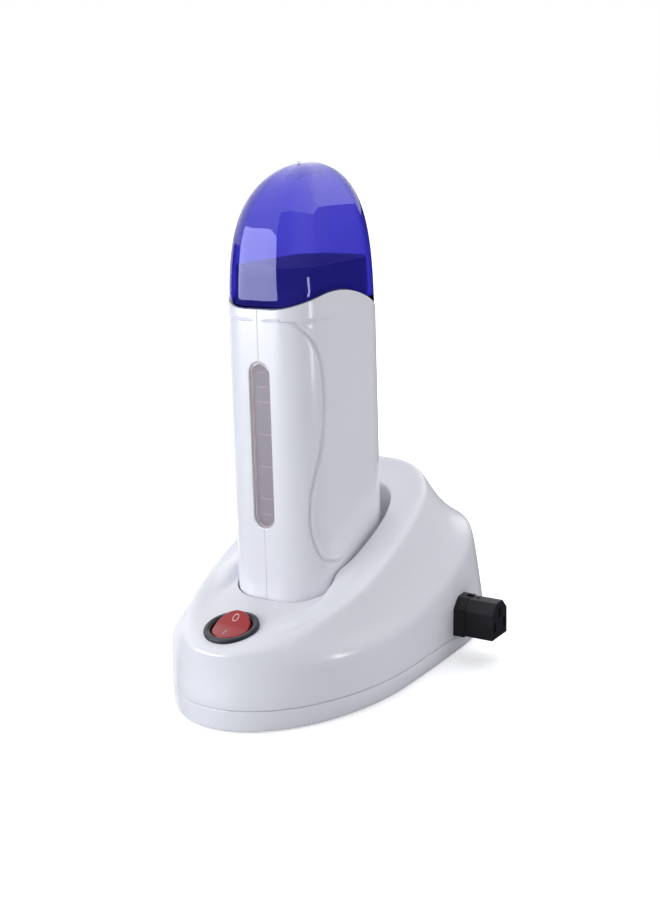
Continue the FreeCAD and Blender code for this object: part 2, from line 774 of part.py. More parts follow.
def blades(label, grow="0"):
    """The switch's three terminals, in a row along the rocker's own length."""
    half = "(blade_width / 2 + (%s))" % grow
    edge = "(blade_thickness / 2 + (%s))" % grow
    foot = "-switch_body_depth - blade_outside"
    return [box("%s_%d" % (label, place_in_row + 1), ("-" + half, half),
                ("%d * blade_pitch - %s" % (place_in_row, edge),
                 "%d * blade_pitch + %s" % (place_in_row, edge)),
                (foot, "switch_floor + blade_inside - switch_body_depth")) for place_in_row in (-1, 0, 1)]


switch_case = cut("switch_case", fuse("switch_solid", bezel, switch_can), switch_room, pivot_bore,
                  *blades("blade_slot", "fit_gap"))
sub_part(on_deck(switch_case), "switch_housing")
sub_part(on_deck(group("blades", *blades("blade"))), "switch_terminals")
sub_part(on_deck(cylinder("lamp", "lamp_radius", "lamp_length", "0", "0", "0")), "switch_lamp")
lamp_spot = "-(switch_body_depth - switch_floor)"
bind(parts[-1], Placement__Base__x="lamp_x",
     Placement__Base__y="-switch_y - (%s) * sin(atan(deck_slope))" % lamp_spot,
     Placement__Base__z="deck_height + deck_slope * (deck_start - switch_y)"
                        " + (%s) * cos(atan(deck_slope))" % lamp_spot)

rocker_round = cylinder("rocker_round", "rocker_radius", "rocker_skirt + 6", z="-rocker_skirt")
rocker_swing = cylinder("rocker_swing", "rocker_sweep", "4 * rocker_radius", "-2 * rocker_radius",
                        axis=X_AXIS)
half_throw = "rocker_throw / 2 * 1 deg"
rocker_faces = []
for side, reach in ((1, "0"), (-1, "4 * rocker_radius")):
    face = box("rocker_face_%d" % (side > 0), ("-2 * rocker_radius", "2 * rocker_radius"),
               ("0", "4 * rocker_radius"), ("0", "rocker_radius"))
    face.Placement = Placement(Vector(), Rotation(X_AXIS, side))
    bind(face, Placement__Rotation__Angle=half_throw)
    if side < 0:
        face.Placement = Placement(Vector(), Rotation(-X_AXIS, 1))
    place(face, "-2 * rocker_radius", "-(%s) * cos(%s)" % (reach, half_throw),
          "rocker_height + (%s) * sin(%s)" % (reach, half_throw))
    rocker_faces.append(face)
rocker_cap = cut("rocker_cap", common("rocker_blank", rocker_round, rocker_swing), *rocker_faces)
rocker_stem = box("rocker_stem", ("-rocker_stem_width / 2", "rocker_stem_width / 2"),
                  ("-rocker_stem_length / 2", "rocker_stem_length / 2"), ("-rocker_stem_depth", "0"))
pivot = cylinder("pivot", "pivot_radius", "2 * (bezel_mouth_radius + pivot_reach)",
                 "-(bezel_mouth_radius + pivot_reach)", axis=X_AXIS)
rocker = fuse("rocker", rocker_cap, rocker_stem, pivot)
sub_part(on_deck(rocker, "rocker_throw / 2"), "switch_rocker")

# ---------------------------------------------------------------- base: link outlet and inlet socket

outlet_solid = fuse("outlet_solid", link_block("outlet_block", "0", ("link_root", "link_end")),
                    link_block("outlet_collar", "link_collar", ("link_root + saddle_width * 2.5",
                                                                "link_collar_end")))
contact_outer = "contact_wall + fit_gap"
outlet = cut("outlet", outlet_solid,
             *link_bars("outlet_slot", ("link_end - link_socket_depth", "link_end + 1"), contact_outer
                        + " + fit_gap"),
             *link_bars("outlet_tail_slot", ("link_root - 1", "link_end - link_socket_depth"), "fit_gap"))
sub_part(outlet, "link_outlet")
contact_span = ("link_end - link_socket_depth", "link_end - link_socket_depth + link_contact_length")
contact_shells = link_bars("contact_shell", contact_span, contact_outer)
contact_rooms = link_bars("contact_room", ("link_end - link_socket_depth + contact_wall", "link_end"),
                          "fit_gap")
contact_tails = link_bars("contact_tail", ("link_root - tail_length", "link_end - link_socket_depth"))
outlet_contacts = []
for number, (shell, room, tail) in enumerate(zip(contact_shells, contact_rooms, contact_tails)):
    cup = cut("contact_cup_%d" % number, shell, room)
    outlet_contacts.append(fuse("outlet_contact_%d" % number, cup, tail))
sub_part(group("outlet_contacts", *outlet_contacts), "link_contacts")

socket_solid = link_block("socket_solid", socket_outside, ("-socket_face",
                                                           "-socket_face + socket_depth + socket_wall"))
socket_room = link_block("socket_room", "link_gap", ("-socket_face - 1", "-socket_face + socket_depth"))
pin_span = ("-socket_face + socket_depth - link_blade_length",
            "-socket_face + socket_depth + socket_wall + tail_length")
socket = cut("socket", socket_solid, socket_room, *link_bars("socket_slot", pin_span, "fit_gap"))
sub_part(socket, "mains_inlet")
sub_part(group("socket_pins", *link_bars("socket_pin", pin_span)), "inlet_pins")

# ---------------------------------------------------------------- base: dock connector

dock_tip = "well_floor + dock_height"
dock_heel = "well_floor - dock_root"
shelf_span = ("well_floor - shell_wall - dock_flange_thickness", "well_floor - shell_wall")
contact_radius = "(pin_radius + contact_gap + contact_wall)"
contact_foot = "(well_floor - dock_root + contact_floor)"
dock_poles = [(side, "%d * dock_pitch / 2" % side) for side in (-1, 1)]
dock_solid = fuse("dock_solid", stadium("dock_body", "dock_length", "dock_width", (dock_heel, dock_tip)),
                  stadium("dock_flange", "dock_flange_length", "dock_flange_width", shelf_span))
dock_rooms = []
for side, y in dock_poles:
    dock_rooms += [
        cylinder("dock_room_%d" % (side > 0), contact_radius + " + fit_gap",
                 "%s - %s + 1" % (dock_tip, contact_foot), "0", y, contact_foot),
        cylinder("dock_tail_hole_%d" % (side > 0), "tail_radius + fit_gap", "contact_floor + 1", "0", y,
                 dock_heel + " - 1"),
        cylinder("dock_screw_hole_%d" % (side > 0), "dock_screw_radius + fit_gap",
                 "dock_flange_thickness + 2", "0", "%d * dock_screw_y" % side, shelf_span[0] + " - 1")]
sub_part(cut("dock", dock_solid, *dock_rooms), "dock_connector")

dock_sleeves, dock_screw_set = [], []
for side, y in dock_poles:
    name = "_%d" % (side > 0)
    sleeve = cut("dock_sleeve" + name,
                 cylinder("dock_sleeve_out" + name, contact_radius,
                          "%s - contact_sink - %s" % (dock_tip, contact_foot), "0", y, contact_foot),
                 cylinder("dock_sleeve_in" + name, "pin_radius + contact_gap", "dock_height + dock_root",
                          "0", y, contact_foot + " + contact_wall"))
    tail = cylinder("dock_tail" + name, "tail_radius", "contact_floor + tail_length", "0", y,
                    dock_heel + " - tail_length")
    dock_sleeves.append(fuse("dock_contact" + name, sleeve, tail))
    shank = cylinder("dock_shank" + name, "dock_screw_radius", "dock_flange_thickness + dock_screw_grip",
                     "0", "%d * dock_screw_y" % side, shelf_span[0])
    head = cylinder("dock_head" + name, "dock_screw_head_radius", "dock_screw_head_height", "0",
                    "%d * dock_screw_y" % side, shelf_span[0] + " - dock_screw_head_height")
    dock_screw_set.append(fuse("dock_screw" + name, shank, head))
sub_part(group("dock_sleeves", *dock_sleeves), "dock_contacts")
sub_part(group("dock_screw_set", *dock_screw_set), "dock_screws")

# ---------------------------------------------------------------- hand unit: housing

HANDLE_FOOT = "well_floor + seat_gap"


def handle_form(label, inset, span):
    """The hand unit's drafted body between two heights, moved in by a wall."""
    sections = []
    for end, height in zip(("foot", "head"), span):
        grow = "handle_draft * (handle_top - (%s)) / (handle_top - (%s)) - (%s)" % (
            height, HANDLE_FOOT, inset)
        sections.append(rounded_sketch("%s_%s" % (label, end), "handle_width + 2 * (%s)" % grow,
                                       "handle_depth + 2 * (%s)" % grow, "handle_corner + (%s)" % grow,
                                       offset=height))
    item = doc.addObject("Part::Loft", label)
    item.Sections = sections
    item.Solid = True
    item.Ruled = True
    return item


def below_seam(label, gap):
    """Everything under the arched seam between the hand unit and the cap, seen from the side."""
    centre = "(seam_crest - seam_radius)"
    arch = cylinder(label + "_arch", "seam_radius + (%s)" % gap, "%d" % FAR, "%d" % (-FAR / 2), "seam_middle",
                    centre, X_AXIS)
    rest = box(label + "_rest", ("%d" % (-FAR / 2), "%d" % (FAR / 2)), ("%d" % (-FAR / 2), "%d" % (FAR / 2)),
               ("%d" % (-FAR / 2), centre))
    return fuse(label, arch, rest)


GROOVE_LINE = ((-40, 159), (-33.6, 159), (-31.4, 158.5), (-28.2, 155.6), (-24.8, 150.9), (-21.3, 143.2),
               (-19.7, 132), (-19.7, 122), (-21.1, 111.1), (-23.4, 102), (-25.7, 94), (-27.5, 83.9),
               (-27.8, 73.3), (-26.4, 65.7), (-23.0, 59.4), (-16.5, 56.3), (-7.8, 55.4))


def groove_band(line, width):
    """A band of even width along a curve in the YZ plane, as a prism right through along X."""
    curve = Part.BSplineCurve()
    curve.interpolate([Vector(0, y, z) for y, z in line])
    first, last = curve.FirstParameter, curve.LastParameter
    sides = ([], [])
    for number in range(61):
        at = first + (last - first) * number / 60
        along = curve.tangent(at)[0]
        across = Vector(0, -along.z, along.y) * (width / 2)
        sides[0].append(curve.value(at) + across)
        sides[1].append(curve.value(at) - across)
    edges = []
    for points in sides:
        edge = Part.BSplineCurve()
        edge.interpolate(points)
        edges.append(edge.toShape())
    ends = [Part.makeLine(sides[0][number], sides[1][number]) for number in (0, -1)]
    outline = Part.Wire(Part.__sortEdges__(edges + ends))
    face = Part.Face(outline)
    face.translate(Vector(-FAR / 2, 0, 0))
    return face.extrude(Vector(FAR, 0, 0))


handle_outside = handle_form("handle_outside", "0", (HANDLE_FOOT, "handle_top"))
cavity_foot = "(%s + handle_floor)" % HANDLE_FOOT
handle_inside = handle_form("handle_inside", "handle_wall", (cavity_foot, "handle_top + 1"))
shelf_blank = box("shelf_blank", ("-handle_width", "handle_width"), ("-handle_depth", "handle_depth"),
                  ("shelf_height", "shelf_height + shelf_thickness"))
shelf_hole = box("shelf_hole", ("-shelf_opening / 2", "shelf_opening / 2"),
                 ("-shelf_opening_front", "handle_depth / 2 - handle_wall"),
                 ("shelf_height - 1", "shelf_height + shelf_thickness + 1"))
shelf = cut("shelf", common("shelf_plate", shelf_blank, handle_outside), shelf_hole)
pillars = [cylinder("pillar_%d" % (side > 0), "handle_boss_radius", "2 * handle_width", "-handle_width",
                    "%d * handle_screw_y" % side, "handle_screw_z", X_AXIS) for side in (-1, 1)]
pillar_set = common("pillar_set", fuse("pillar_pair", *pillars), handle_outside)
groove_skin = cut("groove_skin", handle_outside,
                  handle_form("groove_depth_form", "groove_depth", (HANDLE_FOOT, "handle_top")))
groove = common("groove", groove_skin, feature("groove_prism", groove_band(GROOVE_LINE, size.groove_width)))
front_half = ("-handle_depth", "-handle_depth / 4")
window = slot_block("window", "window_width", "window_foot", "window_head", front_half)
inlet_length = "(dock_length + 2 * dock_gap + 2 * inlet_wall)"
inlet_width = "(dock_width + 2 * dock_gap + 2 * inlet_wall)"
inlet_hole = stadium("inlet_hole", inlet_length, inlet_width, (HANDLE_FOOT + " - 1", cavity_foot + " + 1"),
                     "part_gap")
head_plane = "(handle_width / 2 - handle_screw_sink)"
screw_start = "(%s - screw_head_height)" % head_plane
screw_sinks, screw_holes, screw_pilots, screw_set = [], [], [], []
for side in (-1, 1):
    spot, name = "%d * handle_screw_y" % side, "_%d" % (side > 0)
    screw_sinks.append(cylinder("screw_sink" + name, "screw_head_radius + screw_gap", "handle_width",
                                "-%s - handle_width" % screw_start, spot, "handle_screw_z", X_AXIS))
    screw_holes.append(cylinder("screw_hole" + name, "screw_radius + screw_gap", screw_start + " + 1",
                                "-%s - 1" % screw_start, spot, "handle_screw_z", X_AXIS))
    screw_pilots.append(cylinder("screw_pilot" + name, "screw_radius + fit_gap",
                                 "handle_screw_length - %s + 2" % screw_start, "-1", spot, "handle_screw_z",
                                 X_AXIS))
    head = cylinder("handle_head" + name, "screw_head_radius", "screw_head_height", "-" + head_plane, spot,
                    "handle_screw_z", X_AXIS)
    shank = cylinder("handle_shank" + name, "screw_radius", "handle_screw_length", "-" + screw_start, spot,
                     "handle_screw_z", X_AXIS)
    screw_set.append(fuse("handle_screw" + name, head, shank))
handle_tube = cut("handle_tube", handle_outside, handle_inside)
handle_body = cut("handle_body", fuse("handle_solid", handle_tube, shelf, pillar_set), groove, window,
                  inlet_hole)
handle_cut = common("handle_cut", handle_body, below_seam("handle_seam", "0"))
side_block = ("-handle_depth", "handle_depth"), ("0", "cap_top")
left_half = common("handle_left_half", handle_cut, box("left_block", ("-handle_width", "0"), *side_block))
right_half = common("handle_right_half", handle_cut, box("right_block", ("0", "handle_width"), *side_block))
sub_part(cut("handle_left", left_half, *screw_sinks, *screw_holes), "handle_shell_left")
sub_part(cut("handle_right", right_half, *screw_pilots), "handle_shell_right")
sub_part(group("handle_screw_set", *screw_set), "handle_screws")

lens_front = handle_form("lens_front", "lens_recess", (HANDLE_FOOT, "handle_top"))
lens_back = handle_form("lens_back", "handle_wall + lens_flange_thickness", (HANDLE_FOOT, "handle_top"))
lens_seat = handle_form("lens_seat", "handle_wall", (HANDLE_FOOT, "handle_top"))
lens_pane = common("lens_pane", cut("lens_skin", lens_front, lens_back),
                   slot_block("pane_slot", "window_width", "window_foot", "window_head", front_half,
                              "-part_gap"))
lens_rim = common("lens_rim", cut("rim_skin", lens_seat, lens_back),
                  slot_block("rim_slot", "window_width", "window_foot", "window_head", front_half,
                             "lens_flange"))
sub_part(fuse("lens", lens_pane, lens_rim), "window_lens")

# ---------------------------------------------------------------- hand unit: chamber and heater

chamber_corner = "(cartridge_corner + cartridge_gap)"
sleeve_foot = "(shelf_height + shelf_thickness)"


def chamber_form(label, grow, span):
    return rounded_prism(label, "chamber_width + 2 * (%s)" % grow, "chamber_depth + 2 * (%s)" % grow,
                         "%s + (%s)" % (chamber_corner, grow), span, up="-chamber_shift")


sleeve = cut("sleeve", chamber_form("sleeve_out", "sleeve_wall", (sleeve_foot, "sleeve_head")),
             chamber_form("sleeve_in", "0", (sleeve_foot + " - 1", "sleeve_head + 1")),
             slot_block("sleeve_slot_block", "sleeve_slot", "window_foot", "window_head", front_half))
sub_part(sleeve, "heater_sleeve")
floor_span = (sleeve_foot, sleeve_foot + " + chamber_floor_thickness")
sub_part(chamber_form("floor_plate", "-part_gap", floor_span), "chamber_floor")

collar_inset = "(handle_wall + collar_gap)"
collar_foot = rounded_sketch("collar_foot", "handle_width - 2 * %s" % collar_inset,
                             "handle_depth - 2 * %s" % collar_inset, "handle_corner - %s" % collar_inset,
                             offset="sleeve_head")
collar_head = rounded_sketch("collar_head", "collar_width", "collar_depth",
                             "handle_corner - (handle_width - collar_width) / 2", offset="collar_top")
collar_out = doc.addObject("Part::Loft", "collar_out")
collar_out.Sections = [collar_foot, collar_head]
collar_out.Solid = True
collar_out.Ruled = True
sub_part(cut("collar", collar_out, chamber_form("collar_in", "0", ("sleeve_head - 1", "collar_top + 1"))),
         "cartridge_collar")

heater_y = "(chamber_depth / 2 + sleeve_wall - chamber_shift)"
film_y = "(%s + heater_thickness)" % heater_y
clip_y = "(%s + film_thickness)" % film_y
heater_head = "(heater_foot + heater_length)"
half_heater = "heater_width / 2"
half_film = "(heater_width / 2 + film_margin)"
heater_middle = "heater_foot + heater_length / 2"
clip_back = clip_y + " + clip_thickness"
clip_heights = ("(%s - clip_height / 2)" % heater_middle, "(%s + clip_height / 2)" % heater_middle)
sub_part(box("heater", ("-" + half_heater, half_heater), (heater_y, film_y), ("heater_foot", heater_head)),
         "ptc_heater")
sub_part(box("film", ("-" + half_film, half_film), (film_y, clip_y),
             ("heater_foot - film_margin", heater_head + " + film_margin")), "insulating_film")
clip_bar = box("clip_bar", ("-clip_span / 2", "clip_span / 2"), (clip_y, clip_back), clip_heights)
clip_legs = [box("clip_leg_%d" % (side > 0), ends, (heater_y + " - part_gap", clip_back), clip_heights)
             for side, ends in ((-1, ("-clip_span / 2", "-clip_span / 2 + clip_thickness")),
                                (1, ("clip_span / 2 - clip_thickness", "clip_span / 2")))]
sub_part(fuse("clip", clip_bar, *clip_legs), "heater_clip")
sub_part(box("cutout", ("-cutout_x - cutout_width / 2", "-cutout_x + cutout_width / 2"),
             ("cutout_y - cutout_length / 2", "cutout_y + cutout_length / 2"),
             (sleeve_foot + " - cutout_height", sleeve_foot)), "thermal_cutout")
sub_part(cylinder("fuse_body", "fuse_radius", "fuse_length", "fuse_x", "fuse_y - fuse_length / 2",
                  sleeve_foot + " - fuse_radius - fit_gap", Y_AXIS), "thermal_fuse")

# ---------------------------------------------------------------- hand unit: inlet

inlet_recess = "(%s + dock_height - seat_gap + dock_gap + contact_sink)" % HANDLE_FOOT
inlet_head = "(%s + inlet_roof)" % inlet_recess
inlet_solid = fuse("inlet_solid", stadium("inlet_cup", inlet_length, inlet_width, (HANDLE_FOOT, inlet_head)),
                   stadium("inlet_lip", inlet_length, inlet_width,
                           (cavity_foot, cavity_foot + " + inlet_flange"), "inlet_flange"))
inlet_room = stadium("inlet_room", "dock_length", "dock_width", (HANDLE_FOOT + " - 1", inlet_recess),
                     "dock_gap")
inlet_pin_holes, inlet_pins = [], []
for side, y in dock_poles:
    inlet_pin_holes.append(cylinder("inlet_pin_hole_%d" % (side > 0), "pin_radius + fit_gap",
                                    "inlet_roof + 2", "0", y, inlet_recess + " - 1"))
    inlet_pins.append(cylinder("inlet_pin_%d" % (side > 0), "pin_radius",
                               "pin_length + inlet_roof + tail_length", "0", y,
                               inlet_recess + " - pin_length"))
sub_part(cut("inlet", inlet_solid, inlet_room, *inlet_pin_holes), "handle_inlet")
sub_part(group("inlet_pin_pair", *inlet_pins), "handle_inlet_pins")

# ---------------------------------------------------------------- cap

CAP_HEIGHTS = (0.10, 0.16, 0.23, 0.30, 0.37, 0.44)
CAP_ANGLES = (15, 20, 26, 32, 38, 44, 50, 56, 62, 68, 74, 79, 84, 87.5, 89.5)


def rounded_outline(half_width, half_depth, radius):
    """A rounded rectangle as a function of angle, evenly spaced along its edge."""
    flat_w, flat_d = half_width - radius, half_depth - radius
    bend = math.pi / 2 * radius
    total = 4 * (flat_w + flat_d + bend)

    def point(angle):
        along = (angle / (2 * math.pi) * total) % total
        for sx, sy, turn in ((1, 1, 0), (-1, 1, 1), (-1, -1, 2), (1, -1, 3)):
            lead, trail = (flat_d, flat_w) if turn % 2 == 0 else (flat_w, flat_d)
            if along <= lead + bend + trail or turn == 3:
                break
            along -= lead + bend + trail
        corner = Vector(sx * flat_w, sy * flat_d)
        start = turn * math.pi / 2
        out, ahead = (Vector(math.cos(start), math.sin(start)), Vector(-math.sin(start), math.cos(start)))
        if along < lead:
            return corner + out * radius - ahead * (lead - along)
        if along < lead + bend:
            swing = start + (along - lead) / radius
            return corner + Vector(math.cos(swing), math.sin(swing)) * radius
        return corner + ahead * radius - out * (along - lead - bend)
    return point


def scaled(outline, across, along, lean):
    def point(angle):
        spot = outline(angle)
        return Vector(spot.x * across, spot.y * along + lean)
    return point


def dome_form(inset):
    """The cap's outside as one closed dome, moved in by a wall."""
    outline = rounded_outline(size.handle_width / 2 - size.cap_inset - inset,
                              size.handle_depth / 2 - size.cap_inset - inset,
                              size.handle_corner - size.cap_inset - inset)
    rise = size.cap_top - inset - size.dome_start
    middle_power = (size.dome_power_across + size.dome_power_along) / 2
    levels = list(CAP_HEIGHTS)
    levels += [math.sin(math.radians(angle)) ** (2 / middle_power) for angle in CAP_ANGLES]
    rings = []
    for level in levels:
        across = (1 - level ** size.dome_power_across) ** (1 / size.dome_roundness)
        along = (1 - level ** size.dome_power_along) ** (1 / size.dome_roundness)
        lean = size.dome_lean * level ** size.dome_power_along
        rings.append(ring(scaled(outline, across, along, lean), size.dome_start + rise * level, RING_COUNT))
    rings.append(ring(scaled(outline, 0.005, 0.005, size.dome_lean), size.cap_top - inset, RING_COUNT))
    return closed_form(rings)


dome = cut("dome", feature("dome_outside", dome_form(0.0)), feature("dome_inside", dome_form(size.cap_wall)))
gate = cylinder("gate", "gate_radius", "cap_wall / 2 + gate_height", "0", "0", "cap_top - cap_wall / 2")
cap_shell = cut("cap_shell", dome, below_seam("cap_seam", "seam_gap"))
sub_part(fuse("cap", cap_shell, gate), "transparent_cap")

# ---------------------------------------------------------------- wiring


def wire_run(points, radius, bend):
    """A round wire along straight stretches joined by arcs."""
    points = [Vector(*point) for point in points]
    edges, last = [], points[0]
    for before, corner, after in zip(points, points[1:], points[2:]):
        back, ahead = (before - corner).normalize(), (after - corner).normalize()
        half = back.getAngle(ahead) / 2
        reach = bend / math.tan(half)
        start, end = corner + back * reach, corner + ahead * reach
        centre = corner + (back + ahead).normalize() * (bend / math.sin(half))
        middle = centre + (corner - centre).normalize() * bend
        if (start - last).Length > 1e-6:
            edges.append(Part.makeLine(last, start))
        edges.append(Part.Arc(start, middle, end).toShape())
        last = end
    edges.append(Part.makeLine(last, points[-1]))
    path = Part.Wire(edges)
    section = Part.Wire([Part.makeCircle(radius, points[0], points[1] - points[0])])
    return path.makePipeShell([section], True, False)


def wire_set(label, radius, *routes):
    bend = size.wire_bend
    return feature(label, Part.makeCompound([wire_run(route, radius, bend) for route in routes]))


def blade_tip(row, beyond=0.0):
    """A switch terminal's end, or a point straight beyond it."""
    tip = -size.switch_body_depth - size.blade_outside - beyond
    return tuple(deck_spot.multVec(Vector(0, row * size.blade_pitch, tip)))


socket_tail = -size.socket_face + size.socket_depth + size.socket_wall + size.tail_length
outlet_tail = size.link_root - size.tail_length
near_y, far_y = size.link_y - size.link_pitch, size.link_y + size.link_pitch
low_z, high_z = size.link_z - size.link_drop, size.link_z + size.link_rise
tail_foot = low_z - size.link_blade_height / 2
dock_y, dock_end = size.dock_pitch / 2, size.well_floor - size.dock_root - size.tail_length
well_back = size.handle_depth / 2 + size.well_back_gap + size.shell_wall
tail_middle = size.tail_length / 2
feed = blade_tip(0, 6)
load = blade_tip(-1, 7)
lamp_lead = blade_tip(1, 6)
live = wire_set(
    "live_set", size.wire_radius,
    [(socket_tail - tail_middle, near_y, tail_foot), (socket_tail - tail_middle, near_y, 8),
     (-20, 25, 8), (-20, feed[1], feed[2]), feed, blade_tip(0)],
    [blade_tip(-1), load, (0, load[1] + 7, 5.8), (0, -dock_y, 5.8), (0, -dock_y, dock_end)],
    [(socket_tail, near_y, low_z), (socket_tail + 4, near_y, low_z), (-18, near_y, 11), (18, near_y, 11),
     (outlet_tail - 6, near_y, low_z), (outlet_tail, near_y, low_z)])
neutral = wire_set(
    "neutral_set", size.wire_radius,
    [(socket_tail - tail_middle, far_y, tail_foot), (socket_tail - tail_middle, far_y, 6.2), (-12, 30, 6.2),
     (0, 14, 5.8), (0, dock_y, 5.8), (0, dock_y, dock_end)],
    [blade_tip(1), lamp_lead, (14, -44, 8.5), (21, -30, 8.5), (21, 28, 8.5),
     (outlet_tail + tail_middle, far_y, 8.5), (outlet_tail + tail_middle, far_y, tail_foot)],
    [(socket_tail, far_y, low_z), (outlet_tail, far_y, low_z)])
earth_y = well_back + size.wire_radius + 2.0
earth = wire_set(
    "earth_set", size.wire_radius,
    [(socket_tail, size.link_y, high_z), (socket_tail + 4, size.link_y, high_z), (-18, earth_y, high_z),
     (18, earth_y, high_z), (outlet_tail - 4, size.link_y, high_z), (outlet_tail, size.link_y, high_z)])
sub_part(live, "base_wires_live")
sub_part(neutral, "base_wires_neutral")
sub_part(earth, "base_wire_earth")

pin_top = (size.well_floor + size.dock_height + size.dock_gap + size.contact_sink + size.inlet_roof
           + size.tail_length)
shelf_top = size.shelf_height + size.shelf_thickness
lead_z = shelf_top - size.fuse_radius - size.fit_gap
heater_front = size.chamber_depth / 2 + size.sleeve_wall - size.chamber_shift
lead_y = heater_front + size.thin_wire_radius + size.lead_gap
cutout_front = size.cutout_y - size.cutout_length / 2
cutout_back = size.cutout_y + size.cutout_length / 2
fuse_front = size.fuse_y - size.fuse_length / 2
fuse_back = size.fuse_y + size.fuse_length / 2
lead_foot = lead_z - size.lead_turn
leads = wire_set(
    "lead_set", size.thin_wire_radius,
    [(0, dock_y, pin_top), (0, dock_y, pin_top + size.lead_rise),
     (-size.cutout_x, cutout_front - size.lead_rise, lead_foot),
     (-size.cutout_x, cutout_front - size.lead_rise, lead_z), (-size.cutout_x, cutout_front, lead_z)],
    [(0, -dock_y, pin_top), (0, -dock_y, pin_top + size.lead_rise),
     (size.fuse_x, fuse_front - size.lead_turn, lead_foot),
     (size.fuse_x, fuse_front - size.lead_turn, lead_z), (size.fuse_x, fuse_front, lead_z)],
    [(-size.cutout_x, cutout_back, lead_z), (-size.cutout_x, lead_y, lead_z),
     (-size.cutout_x, lead_y, size.heater_foot)],
    [(size.fuse_x, fuse_back, lead_z), (size.fuse_x, fuse_back + size.lead_turn, lead_z),
     (size.cutout_x, lead_y - size.lead_rise, lead_z), (size.cutout_x, lead_y, lead_z),
     (size.cutout_x, lead_y, size.heater_foot)])
sub_part(leads, "handle_wires")

# ---------------------------------------------------------------- check and write

doc.recompute()
for item in doc.Objects:
    if "Invalid" in item.State or "Error" in item.State:
        raise RuntimeError("%s: %s" % (item.Label, item.State))
for item in parts:
    if item.Shape.isNull() or not item.Shape.isValid() or not item.Shape.Solids:
        raise RuntimeError("%s has no valid shape" % item.Label)
os.makedirs("parts", exist_ok=True)
for item in parts:
    item.Shape.exportStep("parts/%s.step" % item.Label)
print("wrote %d sub-parts" % len(parts))
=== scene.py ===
"""Looks of the roll-on wax heater: materials, fine pieces, lights and camera around the CAD frame.

The mesh code works in mm, and make_item turns its points into metres. X points to the connector's side, Y to
the back and Z up. The switch's end of the base is called its nose.
"""

import json
from math import atan, cos, hypot, pi, radians, sin, sqrt, tan

import bpy
import bmesh
import numpy as np
from mathutils import Matrix, Vector


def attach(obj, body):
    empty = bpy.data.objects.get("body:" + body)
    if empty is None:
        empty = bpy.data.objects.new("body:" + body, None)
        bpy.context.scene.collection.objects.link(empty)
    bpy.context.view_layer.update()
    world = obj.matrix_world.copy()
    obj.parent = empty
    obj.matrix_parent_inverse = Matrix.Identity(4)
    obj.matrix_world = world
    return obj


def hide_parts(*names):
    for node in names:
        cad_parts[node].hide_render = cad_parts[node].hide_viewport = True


MM = 0.001
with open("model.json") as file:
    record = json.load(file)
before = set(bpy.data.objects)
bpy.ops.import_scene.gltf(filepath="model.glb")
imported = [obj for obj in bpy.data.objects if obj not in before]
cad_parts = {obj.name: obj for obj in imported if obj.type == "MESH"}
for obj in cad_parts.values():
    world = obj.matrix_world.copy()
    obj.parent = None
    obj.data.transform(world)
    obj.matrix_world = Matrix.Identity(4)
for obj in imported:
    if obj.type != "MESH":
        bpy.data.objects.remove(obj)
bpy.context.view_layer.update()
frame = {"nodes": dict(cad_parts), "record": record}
scene = bpy.context.scene

# -------------------------------- materials

CLOUD_SCALE, CLOUD_DETAIL = 35.0, 3.0  # the patches of shade and gloss
GLOSS_SPREAD = 0.15  # share by which roughness varies over them
GRAIN_DEPTH, GRAIN_DETAIL = 0.1, 2.0  # the fine grain, its depth in mm
COAT_ROUGHNESS = 0.06
ACRYLIC = {"Transmission_Weight": 1.0, "IOR": 1.49}


def srgb(*screen):
    """A colour given as it looks on a screen, 0 to 255, as Blender's linear values."""
    shares = (part / 255 for part in screen)
    return (*(share / 12.92 if share <= 0.04045 else ((share + 0.055) / 1.055) ** 2.4 for share in shares), 1.0)


def add_node(tree, kind, *sources, setting=None, **values):
    """A shader node: (node, output) pairs to link to its first inputs, its setting, and values of sockets."""
    node = tree.nodes.new("ShaderNode" + kind)
    if setting:
        setattr(node, "data_type" if kind == "Mix" else "operation", setting)
    for number, (source, output) in enumerate(sources):
        wire(source, output, node, number)
    for socket, value in values.items():
        node.inputs[socket.replace("_", " ")].default_value = value
    return node


def wire(source, output, target, socket):
    """Link an output of one node to an input of another, each given by name or number."""
    source.id_data.links.new(source.outputs[output], target.inputs[socket])


